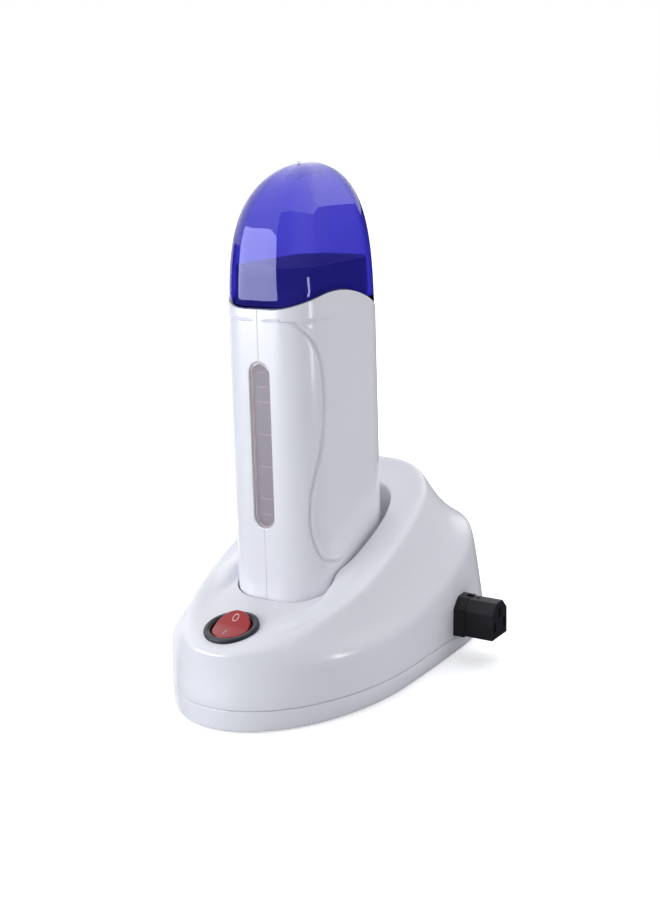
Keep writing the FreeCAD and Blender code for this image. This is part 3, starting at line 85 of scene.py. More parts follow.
def moulded(name, colour, roughness, grain=0.0, grain_size=0.5, patch=0.03, coat=0.0, metallic=0.0,
            **sockets):
    """A surface with faint patches of shade and gloss, and a fine grain as bump (sizes in mm).

    The colour is given as it looks on a screen, 0 to 255.
    """
    material = bpy.data.materials.new(name)
    material.use_nodes = True
    tree = material.node_tree
    shader = tree.nodes["Principled BSDF"]
    place = add_node(tree, "TexCoord")
    clouds = add_node(tree, "TexNoise", (place, "Object"), Scale=CLOUD_SCALE, Detail=CLOUD_DETAIL)
    colour = srgb(*colour)
    shader.inputs["Base Color"].default_value = colour
    if patch:
        darker = tuple(part * (1 - patch) for part in colour[:3]) + (1,)
        lighter = tuple(min(1.0, part * (1 + patch)) for part in colour[:3]) + (1,)
        tint = add_node(tree, "Mix", (clouds, "Fac"), setting="RGBA", A=darker, B=lighter)
        wire(tint, "Result", shader, "Base Color")
    gloss = add_node(tree, "MapRange", (clouds, "Fac"), To_Min=roughness * (1 - GLOSS_SPREAD),
                     To_Max=min(1.0, roughness * (1 + GLOSS_SPREAD)))
    wire(gloss, "Result", shader, "Roughness")
    if grain:
        speckle = add_node(tree, "TexNoise", (place, "Object"), Scale=1000 / grain_size, Detail=GRAIN_DETAIL)
        bump = add_node(tree, "Bump", Strength=grain, Distance=GRAIN_DEPTH * MM)
        wire(speckle, "Fac", bump, "Height")
        wire(bump, "Normal", shader, "Normal")
    even = {"Metallic": metallic, "Coat_Weight": coat, "Coat_Roughness": COAT_ROUGHNESS, **sockets}
    for socket, value in even.items():
        shader.inputs[socket.replace("_", " ")].default_value = value
    return material


# One for each material slot of the record, and then four that only the scene's own pieces use
MATERIALS = {
    "shell_white": moulded("white_shell", (233, 233, 240), 0.235, grain=0.04, grain_size=0.8,
                           patch=0.008, coat=0.14),
    "foot_rubber": moulded("black_rubber", (40, 40, 42), 0.8, grain=0.3, grain_size=0.3),
    "screw_steel": moulded("zinc_steel", (190, 192, 196), 0.32, grain=0.1, metallic=1.0),
    "switch_black": moulded("switch_plastic", (38, 40, 49), 0.38, grain=0.12, grain_size=0.4,
                            Specular_IOR_Level=0.3),
    "contact_brass": moulded("brass_contact", (214, 180, 110), 0.28, grain=0.08, metallic=1.0),
    "lamp_glass": moulded("lamp_bulb", (255, 190, 150), 0.1, Emission_Strength=0.6,
                          Emission_Color=srgb(255, 120, 70)),
    "rocker_red": moulded("red_rocker", (190, 34, 44), 0.22, Transmission_Weight=0.35, IOR=1.49,
                          Specular_IOR_Level=0.3),
    "connector_black": moulded("connector_plastic", (35, 34, 40), 0.5, grain=0.25, grain_size=0.35,
                               Specular_IOR_Level=0.2),
    **{"wire_" + name: moulded(name + "_wire", colour, 0.45, grain=0.05) for name, colour in (
        ("brown", (96, 58, 38)), ("blue", (46, 92, 180)), ("green", (120, 170, 60)))},
    "window_clear": moulded("window_plastic", (247, 243, 246), 0.05, patch=0.0, **ACRYLIC),
    "sleeve_aluminium": moulded("aluminium_sleeve", (196, 196, 202), 0.3, grain=0.1, metallic=1.0),
    "heat_plastic": moulded("collar_plastic_painted_light", (156, 157, 182), 0.35, grain=0.1),
    "heater_ceramic": moulded("ceramic_plate", (200, 196, 182), 0.6, grain=0.2),
    "film_amber": moulded("amber_film", (206, 140, 40), 0.2),
    "clip_steel": moulded("spring_clip", (200, 202, 206), 0.25, metallic=1.0),
    "cutout_black": moulded("cutout_case", (45, 45, 47), 0.4, grain=0.2),
    "fuse_metal": moulded("tinned_can", (214, 210, 200), 0.3, metallic=1.0),
    "wire_silicone": moulded("silicone_wire", (226, 222, 210), 0.5, grain=0.05),
    "cap_blue": moulded("blue_cap", (255, 255, 255), 0.03, patch=0.0,
                        Specular_Tint=(0.64, 0.64, 1.0, 1.0), **ACRYLIC),
    "gate_blue": moulded("gate_mark", (120, 112, 196), 0.3),
    # Painted light: the window wall's pinkish pale colour stands in for light bounced from the plate and light
    # through the wall
    "window_wall": moulded("window_wall", (228, 218, 224), 0.4),
    "level_plate": moulded("level_plate", (173, 172, 183), 0.35, grain=0.05),
    "sign_white": moulded("sign_white", (232, 208, 210), 0.4),
}
# The pale tone of the painted light on the collar's upward and inner faces
PAINTED_LIGHT_PALE = (0.93, 0.93, 0.93, 1)
CAP_DYE, DYE_DENSITY = (0.04, 0.0, 0.75, 1), 800.0


def paint_light_on_top_and_inside(material):
    """Paint light on a ring: pale where its faces look up, as painted light from above, and where they look in
    to the axis, as painted light in the shaded opening.
    """
    tree = material.node_tree
    spot = add_node(tree, "TexCoord")
    split = add_node(tree, "SeparateXYZ", (spot, "Normal"))
    upward = add_node(tree, "MapRange", (split, "Z"), From_Min=0.8, From_Max=0.95)
    from_axis = add_node(tree, "VectorMath", (spot, "Object"), setting="MULTIPLY")
    from_axis.inputs[1].default_value = (1, 1, 0)
    outward = add_node(tree, "VectorMath", (from_axis, 0), (spot, "Normal"), setting="DOT_PRODUCT")
    inside = add_node(tree, "Math", (outward, "Value"), setting="LESS_THAN")
    inside.inputs[1].default_value = -0.001
    pale = add_node(tree, "Math", (upward, "Result"), (inside, 0), setting="MAXIMUM")
    painted_light_mix = add_node(tree, "Mix", (pale, 0), setting="RGBA", B=PAINTED_LIGHT_PALE)
    wire(tree.nodes["Mix"], "Result", painted_light_mix, "A")
    wire(painted_light_mix, "Result", tree.nodes["Principled BSDF"], "Base Color")


def add_dye(material, colour, density):
    """Colour a clear material through its thickness."""
    tree = material.node_tree
    dye = add_node(tree, "VolumeAbsorption", Color=colour, Density=density)
    wire(dye, "Volume", tree.nodes["Material Output"], "Volume")


def finish_frame():
    """Give every CAD node the material of its slot."""
    slot_of = {item["node"]: item["material_slot"] for item in frame["record"]["subparts"]}
    for node, item in frame["nodes"].items():
        finish = MATERIALS[slot_of[node]]
        if not item.material_slots:
            item.data.materials.append(finish)
        for slot in item.material_slots:
            slot.material = finish


# Painted light: the collar's faces that look up or in to the axis are painted pale
paint_light_on_top_and_inside(MATERIALS["heat_plastic"])
add_dye(MATERIALS["cap_blue"], CAP_DYE, DYE_DENSITY)
finish_frame()

# -------------------------------- mesh helpers

SMOOTH_ANGLE = 35.0


def soften(item, angle):
    """Smooth shading, but for edges sharper than an angle."""
    item.data.polygons.foreach_set("use_smooth", [True] * len(item.data.polygons))
    item.data.set_sharp_from_angle(angle=radians(angle))


def new_object(name, data):
    item = bpy.data.objects.new(name, data)
    scene.collection.objects.link(item)
    return item


def make_item(name, points, faces, material, smooth=SMOOTH_ANGLE):
    """A mesh object from points in mm, with its normals outward."""
    mesh = bpy.data.meshes.new(name)
    mesh.from_pydata([tuple(float(part) * MM for part in point) for point in points], [], faces)
    shell = bmesh.new()
    shell.from_mesh(mesh)
    bmesh.ops.recalc_face_normals(shell, faces=shell.faces)
    shell.to_mesh(mesh)
    shell.free()
    mesh.materials.append(material)
    item = new_object(name, mesh)
    soften(item, smooth)
    return item


def make_piece(name, points, faces, body, finish, slot=None, smooth=SMOOTH_ANGLE):
    """An item that rides on a body, in its finish's material; the slot argument is not used."""
    item = make_item(name, points, faces, MATERIALS[finish], smooth)
    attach(item, body)
    slot or finish
    return item


def settle(item, angle):
    """Apply an item's modifiers."""
    graph = bpy.context.evaluated_depsgraph_get()
    done = bpy.data.meshes.new_from_object(item.evaluated_get(graph))
    item.modifiers.clear()
    old, item.data = item.data, done
    name = old.name
    bpy.data.meshes.remove(old)
    done.name = name
    soften(item, angle)


def carve(item, *cutters, angle=SMOOTH_ANGLE):
    """Take closed forms, given as points and faces, out of an item."""
    tools = []
    for points, faces in cutters:
        tool = make_item("cutter", points, faces, item.data.materials[0])
        change = item.modifiers.new("carve", "BOOLEAN")
        change.operation = "DIFFERENCE"
        change.solver = "EXACT"
        change.object = tool
        tools.append(tool)
    settle(item, angle)
    for tool in tools:
        mesh = tool.data
        bpy.data.objects.remove(tool)
        bpy.data.meshes.remove(mesh)


def grid_faces(rows, columns, first=0, closed=False, flip=False):
    """Quads over a grid of points that is numbered row by row, closed round each row or open."""
    faces = []
    for start in range(first, first + (rows - 1) * columns, columns):
        for column in range(columns if closed else columns - 1):
            after = (column + 1) % columns
            quad = [start + column, start + after, start + columns + after, start + columns + column]
            faces.append(quad[::-1] if flip else quad)
    return faces


def stack_form(rings):
    """A closed form through a list of rings with the same number of points, with a lid at each end."""
    points, count = np.concatenate(rings), len(rings[0])
    faces = grid_faces(len(rings), count, closed=True)
    return points, faces + [list(range(count))[::-1], list(range(len(points) - count, len(points)))]


def loop_form(rings):
    """A closed form through a list of rings, from the last one on to the first again."""
    points = np.concatenate(rings)
    faces = grid_faces(len(rings) + 1, len(rings[0]), closed=True)
    return points, [[corner % len(points) for corner in face] for face in faces]


def outline_rings(outline, levels, spot):
    """Rings of a plane outline, moved out and placed at each (offset, level) by a function."""
    return [[spot(across, up, level) for across, up in outline(offset)] for offset, level in levels]


def circle(half_x, half_y, count):
    """Points round an ellipse."""
    angles = [2 * pi * step / count for step in range(count)]
    return [(half_x * cos(angle), half_y * sin(angle)) for angle in angles]


def lathe_rings(profile, count, place):
    """Rings round Z, one for each (radius, height) point, moved by a matrix."""
    return [[tuple(place @ Vector((x, y, height))) for x, y in circle(radius, radius, count)]
            for radius, height in profile]


def lathe(profile, count=96, place=Matrix()):
    """A form turned about Z from (radius, height) points, with a lid at each end."""
    return stack_form(lathe_rings(profile, count, place))


def round_bar(half_length, radius, count=24):
    """A stadium outline, longest along its second axis, as a function of how far it is moved out."""
    def outline(offset):
        points = []
        for side in (1, -1):
            for step in range(count + 1):
                angle = pi * step / count
                points.append(((radius + offset) * cos(angle) * side,
                               side * (half_length + (radius + offset) * sin(angle))))
        return points
    return outline


def upright_bar(half_length, radius, low, high):
    """A stadium prism on the Z axis."""
    outline = round_bar(half_length, radius)(0)
    return stack_form([[(*point, level) for point in outline] for level in (low, high)])


def mix(first, second, share):
    return first * (1 - share) + second * share


def smooth_step(value):
    value = np.clip(value, 0.0, 1.0)
    return value * value * (3 - 2 * value)


def soft_max(first, second, blend):
    return 0.5 * (first + second + np.sqrt((first - second) ** 2 + blend ** 2))


# -------------------------------- smooth nets, as the CAD's

NET, BASE_COLUMNS = 64, 288  # points of a control ring, and of a row of the surface
FLAT_X, FLAT_Y, CORNER = 6.0, 17.6, 16.0  # the hand unit's plan: half of each flat, and its corner
ANGLES = 2 * np.pi * (np.arange(NET) + 0.5) / NET


def signed_power(value, exponent):
    return np.sign(value) * np.abs(value) ** exponent


def egg(half_width, front, back, middle, front_power, back_power, inset=0.0):
    """An egg-shaped plan outline: two superellipse halves that meet at y = middle."""
    across, along = np.cos(ANGLES), np.sin(ANGLES)
    length = np.where(along < 0, (front - inset) + middle, (back - inset) - middle)
    order = np.where(along < 0, front_power, back_power)
    return np.stack([(half_width - inset) * signed_power(across, 2 / order),
                     middle + length * signed_power(along, 2 / order)], -1)


def hug(outline, reach):
    """Draw the front of an outline in to a distance round the hand unit's own outline."""
    core = np.column_stack([np.clip(outline[:, 0], -FLAT_X, FLAT_X), np.clip(outline[:, 1], -FLAT_Y, FLAT_Y)])
    away = outline - core
    distance = np.linalg.norm(away, axis=1)[:, None]
    share = np.where(outline[:, 1] < 0, smooth_step((4 - outline[:, 1]) / 16), 0.0)[:, None]
    return core + away / distance * mix(distance, np.minimum(distance, reach), share)


def at_height(outline, height):
    """An outline's points at a height, or at a height that is a function of x and y."""
    level = height(outline[:, 0], outline[:, 1]) if callable(height) else np.full(NET, float(height))
    return np.column_stack([outline, level])


def spline_weights(knots, count, at):
    """Cubic B-spline weights, one row for each parameter."""
    at = np.clip(at, knots[3], knots[count] - 1e-9)[:, None]
    knots = np.asarray(knots, float)
    weights = ((knots[:-1] <= at) & (at < knots[1:])).astype(float)
    for order in range(1, 4):
        spans = len(knots) - 1 - order
        left = knots[order:order + spans] - knots[:spans]
        right = knots[order + 1:order + 1 + spans] - knots[1:1 + spans]
        rise = (at - knots[:spans]) / np.where(left > 0, left, 1) * weights[:, :spans] * (left > 0)
        fall = (knots[order + 1:order + 1 + spans] - at) / np.where(right > 0, right, 1)
        weights = rise + fall * weights[:, 1:1 + spans] * (right > 0)
    return weights


def net_surface(rings, each):
    """The cubic spline surface over a stack of closed rings: each span of it gives a number of rows."""
    poles, spans = np.stack(rings), len(rings) - 3
    knots = [0.0] * 3 + list(range(spans + 1)) + [float(spans)] * 3
    down = spline_weights(knots, len(rings), np.linspace(0, spans, spans * each + 1).round(6))
    wrapped = np.concatenate([poles[:, -1:], poles, poles[:, :2]], axis=1)
    around = spline_weights(list(range(-3, NET + 4)), NET + 3, np.arange(BASE_COLUMNS) * NET / BASE_COLUMNS)
    return np.einsum("rp,pqc,kq->rkc", down, wrapped, around)


def round_edge(grid, radius):
    """Turn the first row of a grid of points in towards the Z axis, as a small round edge."""
    row = grid[0]
    inward = -row[:, :2]
    inward /= np.linalg.norm(inward, axis=1)[:, None]
    rise = np.sign(grid[1, 0, 2] - row[0, 2])
    extra = []
    for step in range(4):
        angle = pi / 2 * step / 4
        turned = row.copy()
        turned[:, :2] += inward * radius * (1 - sin(angle))
        turned[:, 2] += rise * radius * (1 - cos(angle))
        extra.append(turned)
    keep = grid[np.abs(grid[:, 0, 2] - row[0, 2]) > radius * 1.2]
    return np.concatenate([np.stack(extra), keep])


def joined(outer, inner):
    """Two grids' points, one after the other, and the number of each point in its grid."""
    first = np.arange(outer.size // 3).reshape(outer.shape[:2])
    second = first.size + np.arange(inner.size // 3).reshape(inner.shape[:2])
    return np.concatenate([outer.reshape(-1, 3), inner.reshape(-1, 3)]), first, second


def walled_form(outer, inner):
    """A closed wall between two grids that start at the same edge and end in flat lids."""
    points, out, back = joined(outer, inner)
    (rows, columns), rows_in = out.shape, len(back)
    faces = grid_faces(rows, columns, closed=True) + grid_faces(rows_in, columns, out.size, True, True)
    faces += np.stack([np.roll(out[0], -1), out[0], back[0], np.roll(back[0], -1)], 1).tolist()
    return points, faces + [out[-1].tolist(), back[-1, ::-1].tolist()]


# -------------------------------- base

FOOT, PARTING, SHELL_WALL, PAN_WALL, WELL_FLOOR = 0.4, 9.5, 2.4, 2.2, 20.0
HAIRLINE, BASE_EDGE = 0.12, 0.3  # half of the gap at the parting line, and its edges' radius
DECK_HEIGHT, DECK_SLOPE, DECK_START = 41.8, 0.217, 36.0
SWITCH_Y, SWITCH_HOLE, BEZEL_SEAT = 59.4, 9.9, 11.6
LINK_Y, LINK_Z, LINK_START, LINK_END = 43.5, 19.7, 42, 70
LINK_GAP, INLET_GAP, INLET_HALF = 0.6, 1.95, 9.25
DOCK_HALF, DOCK_RADIUS = 3.9, 4.0
POSTS, POST_HOLE, POST_DEPTH = ((-28, -46), (28, -46), (-38, 61), (38, 61)), 2.9, 3.4
PADS, PAD_RADIUS, PAD_SEAT = ((-34, -26), (34, -26), (-36, 43), (36, 43)), 6.0, 1.2

# Plan outlines: half width, reach to the nose and to the back, y of the widest place, and the powers
PARTING_EGG = (51.0, 77.7, 87.9, 1.0, 2.0, 5.6)
SHOULDER_EGG = (52.0, 75.5, 71.8, 1.0, 2.0, 5.0)
RIM_EGG = (40.3, 75.5, 60.4, 0.0, 2.0, 2.95)
MOUTH_EGG, MOUTH_GAP = (24.8, 35.4, 42.6, 3.5, 3.6, 3.4), 1.05
WELL_EGG, WELL_BEND = (23.35, 34.95, 37.4, 3.5, 4.0, 3.6), 30.9
SOLE_EGG = (49.3, 78.3, 86.9, 1.0, 2.0, 5.4)
SOLE_MIDDLE = (1, 1, 1, 0, 2, 2)

# The fold beside the hand unit's foot: where it stands, how wide it is, and how high
FOLD_SIDE, FOLD_WIDTH, FOLD_RISE = 25.6, 3.2, 5.4


def deck_line(y):
    return DECK_HEIGHT + DECK_SLOPE * (y + DECK_START)


def rim_edge(y):
    return soft_max(54.5 + 0.4 * y + 0.0013 * y * y, deck_line(y) - 3.0, 2.0)


def shoulder_line(y):
    return 22.4 + 0.1 * (y + 75.5) + 0.0041 * np.maximum(0.0, y + 1) ** 2


def top_height(x, y):
    """The base's upper face: a sloping deck, a band that rises behind it, and its front ends by the well."""
    aside = np.abs(x)
    inward = smooth_step((FOLD_SIDE - aside) / FOLD_WIDTH) * smooth_step((-17 - y) / 3)
    ends = FOLD_RISE * np.clip((y + 44) / 23, 0, 1) ** 1.6 * smooth_step((39 - aside) / 12)
    band = soft_max(55.8 + 0.475 * y, deck_line(y) + ends, 0.6)
    return band * (1 - inward) + deck_line(y) * inward


def skirt(at_sides, at_nose):
    """A height between the shoulder and the rim's edge, as a share at the sides and at the nose."""
    def height(x, y):
        share = at_nose + (at_sides - at_nose) * smooth_step((y + 72) / 45)
        return shoulder_line(y) + share * (rim_edge(y) - shoulder_line(y))
    return height


def upper_net(inset, foot, floor):
    """Control rings of the upper shell from the parting line over the rim and down the well."""
    parting, shoulder, rim = (egg(*form, inset) for form in (PARTING_EGG, SHOULDER_EGG, RIM_EGG))
    mouth = hug(egg(*MOUTH_EGG, -inset), CORNER + MOUTH_GAP + inset)
    well = egg(*WELL_EGG, -inset)

    def lowered(height, extra=0.0):
        return lambda x, y: height(x, y) - inset - extra

    rings = (
        (parting, foot),
        (parting, foot + 2.0),
        (mix(parting, shoulder, 0.4), lambda x, y: foot + 0.5 * (shoulder_line(y) - inset - foot)),
        (mix(parting, shoulder, 0.75), lowered(lambda x, y: shoulder_line(y), 3.0)),
        (shoulder, lowered(skirt(0.04, 0.24))),
        (mix(shoulder, rim, 0.3), lowered(skirt(0.24, 0.6))),
        (mix(shoulder, rim, 0.68), lowered(skirt(0.57, 0.87))),
        (rim, lowered(lambda x, y: rim_edge(y), 0.3)),
        (mix(rim, mouth, 0.14), lowered(lambda x, y: 0.6 * rim_edge(y) + 0.4 * top_height(x, y), -1.5)),
        (mix(rim, mouth, 0.4), lowered(top_height, -0.1)),
        *((mix(rim, mouth, share), lowered(top_height)) for share in (0.62, 0.76, 0.86, 0.94)),
        (mouth, lowered(top_height)),
        (mix(mouth, well, 0.1), lowered(top_height, 1.2)),
        (mix(mouth, well, 0.15), lowered(top_height, 3.2)),
        (mix(mouth, well, 0.7), WELL_BEND - inset),
        (well, floor),
    )
    return [at_height(outline, height) for outline, height in rings]


def pan_net(inset, sole, head):
    """Control rings of the lower pan from the parting line down and in under it."""
    parting, lowest = egg(*PARTING_EGG, inset), egg(*SOLE_EGG, inset)
    rise = head - sole
    rings = (
        (parting, head),
        (parting, head - 0.25 * rise),
        (mix(parting, lowest, 0.2), head - 0.5 * rise),
        (mix(parting, lowest, 0.6), head - 0.8 * rise),
        (lowest, sole + 0.05 * rise),
        (mix(lowest, egg(*SOLE_MIDDLE), 0.02), sole),
    )
    return [at_height(outline, height) for outline, height in rings]


def link_outline(offset):
    """The link connector's section, with its two upper corners cut off."""
    half, foot, head = 7.3 + offset, -8.1 - offset, 8.1 + offset
    chamfer = 4.2 + (2 - sqrt(2)) * offset
    return [(-half, foot), (half, foot), (half, head - chamfer), (half - chamfer, head),
            (-half + chamfer, head), (-half, head - chamfer)]


def link_form(*levels):
    """A form along X of the connector's section, from (offset, x) pairs."""
    return stack_form(outline_rings(link_outline, levels,
                                    lambda across, up, x: (x, LINK_Y + across, LINK_Z + up)))


DECK = (Matrix.Translation((0, -SWITCH_Y, float(deck_line(-SWITCH_Y))))
        @ Matrix.Rotation(atan(DECK_SLOPE), 4, "X"))


def build_base():
    """The two base shells, with their holes for the switch, the connectors, the dock, pads and screws."""
    outer = net_surface(upper_net(0.0, PARTING + HAIRLINE, WELL_FLOOR), 5)
    inner = net_surface(upper_net(SHELL_WALL, PARTING + HAIRLINE, WELL_FLOOR - SHELL_WALL), 2)
    shell = make_piece("base_shell", *walled_form(round_edge(outer, BASE_EDGE), inner), "base", "shell_white")
    below_inlet = stack_form([[(-LINK_END, LINK_Y - INLET_HALF, z), (-LINK_START, LINK_Y - INLET_HALF, z),
                               (-LINK_START, LINK_Y + INLET_HALF, z), (-LINK_END, LINK_Y + INLET_HALF, z)]
                              for z in (PARTING - 1, LINK_Z)])
    carve(shell,
          lathe(((SWITCH_HOLE, -28), (SWITCH_HOLE, 28)), place=DECK),
          lathe(((BEZEL_SEAT, 0.0), (BEZEL_SEAT, 3.6)), place=DECK),
          upright_bar(DOCK_HALF, DOCK_RADIUS, WELL_FLOOR - SHELL_WALL - 1, WELL_FLOOR + 1),
          link_form((LINK_GAP, LINK_START), (LINK_GAP, LINK_END)),
          link_form((INLET_GAP, -LINK_END), (INLET_GAP, -LINK_START)), below_inlet)
    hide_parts("base_upper_shell")

    outer = net_surface(pan_net(0.0, FOOT, PARTING - HAIRLINE), 8)
    inner = net_surface(pan_net(PAN_WALL, FOOT + PAN_WALL, PARTING - HAIRLINE), 3)
    pan = make_piece("base_pan", *walled_form(round_edge(outer, BASE_EDGE), inner), "base", "shell_white")
    seats = [lathe(((PAD_RADIUS, FOOT - 1), (PAD_RADIUS, PAD_SEAT)), 48, Matrix.Translation((x, y, 0)))
             for x, y in PADS]
    holes = [lathe(((POST_HOLE, FOOT - 1), (POST_HOLE, FOOT + POST_DEPTH)), 32,
                   Matrix.Translation((x, y, 0))) for x, y in POSTS]
    carve(pan, *seats, *holes)
    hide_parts("base_lower_pan")


# -------------------------------- hand unit

HANDLE_TOP, HANDLE_FOOT, DRAFT, WALL, HANDLE_FLOOR = 175.0, 20.2, 0.65, 2.2, 2.4
SEAM_RADIUS, SEAM_MIDDLE, SEAM_CENTRE = 60.0, -8.5, 109.2
ARCH_START = 140  # height from which the rows follow the arched seam
SPLIT_STEPS = (0.04, 0.08, 0.16, 0.3, 0.6, 1.2, 2.0, 3.0, 4.0, 5.0)
BEND_STEPS, BACK_STEPS = 80, 20
FINE_STEP, FINE_COUNT, SIDE_STEP, SIDE_COUNT = 0.4, 30, 1.9, 12
FOOT_ROWS, FOOT_TURN = (20.2, 20.3, 20.5, 20.9), (0.6, 0.3, 0.1)
SEAM_ROWS, SEAM_TURN = (0.6, 0.35, 0.12, 0.03, 0.0), (0.0, 0.04, 0.14, 0.34)
SPLIT_TURN = (0.16, 0.08, 0.03)
INLET_BAR, INLET_RADIUS = 3.9, 6.15
SCREW_HOLE, SCREW_Y, SCREW_Z, SCREW_START, SCREW_DEPTH = 2.9, 21, 42, -40.5, 22
WINDOW_MIDDLE, WINDOW_HALF, WINDOW_RADIUS, WINDOW_STEPS, WINDOW_EDGE = 107.5, 29.9, 5.0, 32, 0.55
HANDLE_SMOOTH = 40

# The groove's line as (y, z) points down the side, and its start on the front
GROOVE_LINE = ((-40, 159), (-33.6, 159), (-31.4, 158.5), (-28.2, 155.6), (-24.8, 150.9), (-21.3, 143.2),
               (-19.7, 132), (-19.7, 122), (-21.1, 111.1), (-23.4, 102), (-25.7, 94), (-27.5, 83.9),
               (-27.8, 73.3), (-26.4, 65.7), (-23.0, 59.4), (-16.5, 56.3), (-7.8, 55.4))
GROOVE_DEPTH, GROOVE_WIDTH, BEAD_HEIGHT, BEAD_PLACE, BEAD_WIDTH = 1.4, 0.75, 0.45, 1.6, 0.6
HOLLOW_DEPTH, HOLLOW_EDGE, HOLLOW_REACH = 0.9, 2.2, 30


def handle_radius(z):
    """The corner's radius, which grows downward with the draft."""
    return CORNER + DRAFT * (HANDLE_TOP - z) / (HANDLE_TOP - HANDLE_FOOT)


def seam_height(y, gap=0.0):
    return SEAM_CENTRE + np.sqrt((SEAM_RADIUS + gap) ** 2 - (y - SEAM_MIDDLE) ** 2)


def window_spot(across, up, depth):
    """A point of the window: across, up from its middle, and depth behind the housing's front."""
    return (across, depth - FLAT_Y - handle_radius(WINDOW_MIDDLE + up), WINDOW_MIDDLE + up)


def window_form(levels, join=stack_form):
    """A form through the window's outline, from (offset, depth) pairs."""
    return join(outline_rings(round_bar(WINDOW_HALF, WINDOW_RADIUS, WINDOW_STEPS), levels, window_spot))


def handle_columns():
    """Columns down one half, front to back: (anchor x, anchor y, direction x, direction y, distance)."""
    bend = pi / 2 * CORNER
    side = FLAT_X + bend + 2 * FLAT_Y
    columns = [(x, -FLAT_Y, 0.0, -1.0, x) for x in SPLIT_STEPS]
    for step in range(BEND_STEPS + 1):
        angle = pi / 2 * step / BEND_STEPS
        columns.append((FLAT_X, -FLAT_Y, sin(angle), -cos(angle), FLAT_X + CORNER * angle))
    for step in range(1, FINE_COUNT + 1):
        along = step * FINE_STEP
        columns.append((FLAT_X, -FLAT_Y + along, 1.0, 0.0, FLAT_X + bend + along))
    for step in range(1, SIDE_COUNT + 1):
        y = -FLAT_Y + 12 + step * SIDE_STEP
        columns.append((FLAT_X, y, 1.0, 0.0, FLAT_X + bend + y + FLAT_Y))
    for step in range(BACK_STEPS + 1):
        angle = pi / 2 * step / BACK_STEPS
        columns.append((FLAT_X, FLAT_Y, cos(angle), sin(angle), side + CORNER * angle))
    columns += [(x, FLAT_Y, 0.0, 1.0, side + bend + FLAT_X - x) for x in reversed(SPLIT_STEPS)]
    return np.array(columns)


def groove_path():
    """The groove's centre line on the unrolled surface, as (distance from the front, height) points."""
    line = np.array(GROOVE_LINE, float)
    run = np.concatenate([[0], np.cumsum(np.linalg.norm(np.diff(line, axis=0), axis=1))])
    slope = np.gradient(line, run, axis=0)
    path = []
    for number in range(len(line) - 1):
        length = run[number + 1] - run[number]
        for t in (step / 24 for step in range(24)):
            path.append((2 * t ** 3 - 3 * t ** 2 + 1) * line[number]
                        + (t ** 3 - 2 * t ** 2 + t) * length * slope[number]
                        + (3 * t ** 2 - 2 * t ** 3) * line[number + 1]
                        + (t ** 3 - t ** 2) * length * slope[number + 1])
    path = np.array(path + [line[-1]])
    y, z = path[:, 0], path[:, 1]
    angle = np.arcsin(np.clip((-FLAT_Y - y) / handle_radius(z), -1, 1))
    bend = pi / 2 * CORNER
    distance = np.where(y > -FLAT_Y, FLAT_X + bend + y + FLAT_Y, FLAT_X + bend - CORNER * angle)
    front_end, corner_start = GROOVE_LINE[0][0], GROOVE_LINE[1][0]
    on_front = np.interp(y, (front_end, corner_start), (-1, FLAT_X))
    return np.column_stack([np.where(y < corner_start, on_front, distance), z])


def groove_depth(distance, z):
    """How far the surface lies in: a soft groove, and a shallow hollow behind it for the grip."""
    path = groove_path()
    spots = np.column_stack([distance.ravel(), z.ravel()])
    nearest = np.full(len(spots), 1e9)
    chunk = 4000
    for first in range(0, len(spots), chunk):
        away = spots[first:first + chunk, None, :] - path[None]
        nearest[first:first + chunk] = np.sqrt((away ** 2).sum(-1)).min(1)
    nearest = nearest.reshape(distance.shape)
    order = np.argsort(path[:, 1])
    behind = distance - np.interp(z, path[order, 1], path[order, 0])
    fade = smooth_step((z - 53.5) / 5) * smooth_step((160 - z) / 1.0)
    end = smooth_step((path[-1, 0] - 1 - distance) / 9)
    across = smooth_step((distance - 13) / 9)
    bead = np.where(behind > 0, BEAD_HEIGHT * np.exp(-((nearest - BEAD_PLACE) / BEAD_WIDTH) ** 2), 0.0)
    groove = GROOVE_DEPTH * np.exp(-(nearest / GROOVE_WIDTH) ** 2) - bead
    groove *= np.where(z < 66, end, 1.0) * across
    hollow = HOLLOW_DEPTH * smooth_step(behind / HOLLOW_EDGE) * smooth_step(1 - behind / HOLLOW_REACH) * fade
    return groove + np.where(behind > 0, hollow, 0.0) * smooth_step((z - 56) / 12)


def wall_points(columns, reach, z, side):
    return np.stack([(columns[:, 0] + columns[:, 2] * reach) * side,
                     columns[:, 1] + columns[:, 3] * reach, z], -1)


def half_wall(outer, inner):
    """A closed half shell between an outer and an inner grid, both open at the split, foot and seam."""
    points, out, back = joined(outer, inner)
    (rows, count), rows_in = out.shape, len(back)
    faces = grid_faces(rows, count) + grid_faces(rows_in, count, out.size, flip=True)
    faces += np.stack([out[-1, :-1], out[-1, 1:], back[-1, 1:], back[-1, :-1]], 1).tolist()
    split = np.concatenate([out[::-1, 0], out[:, -1], back[::-1, -1], back[:, 0]])
    return points, faces + [edge.tolist() for edge in (out[0, ::-1], back[0], split)]


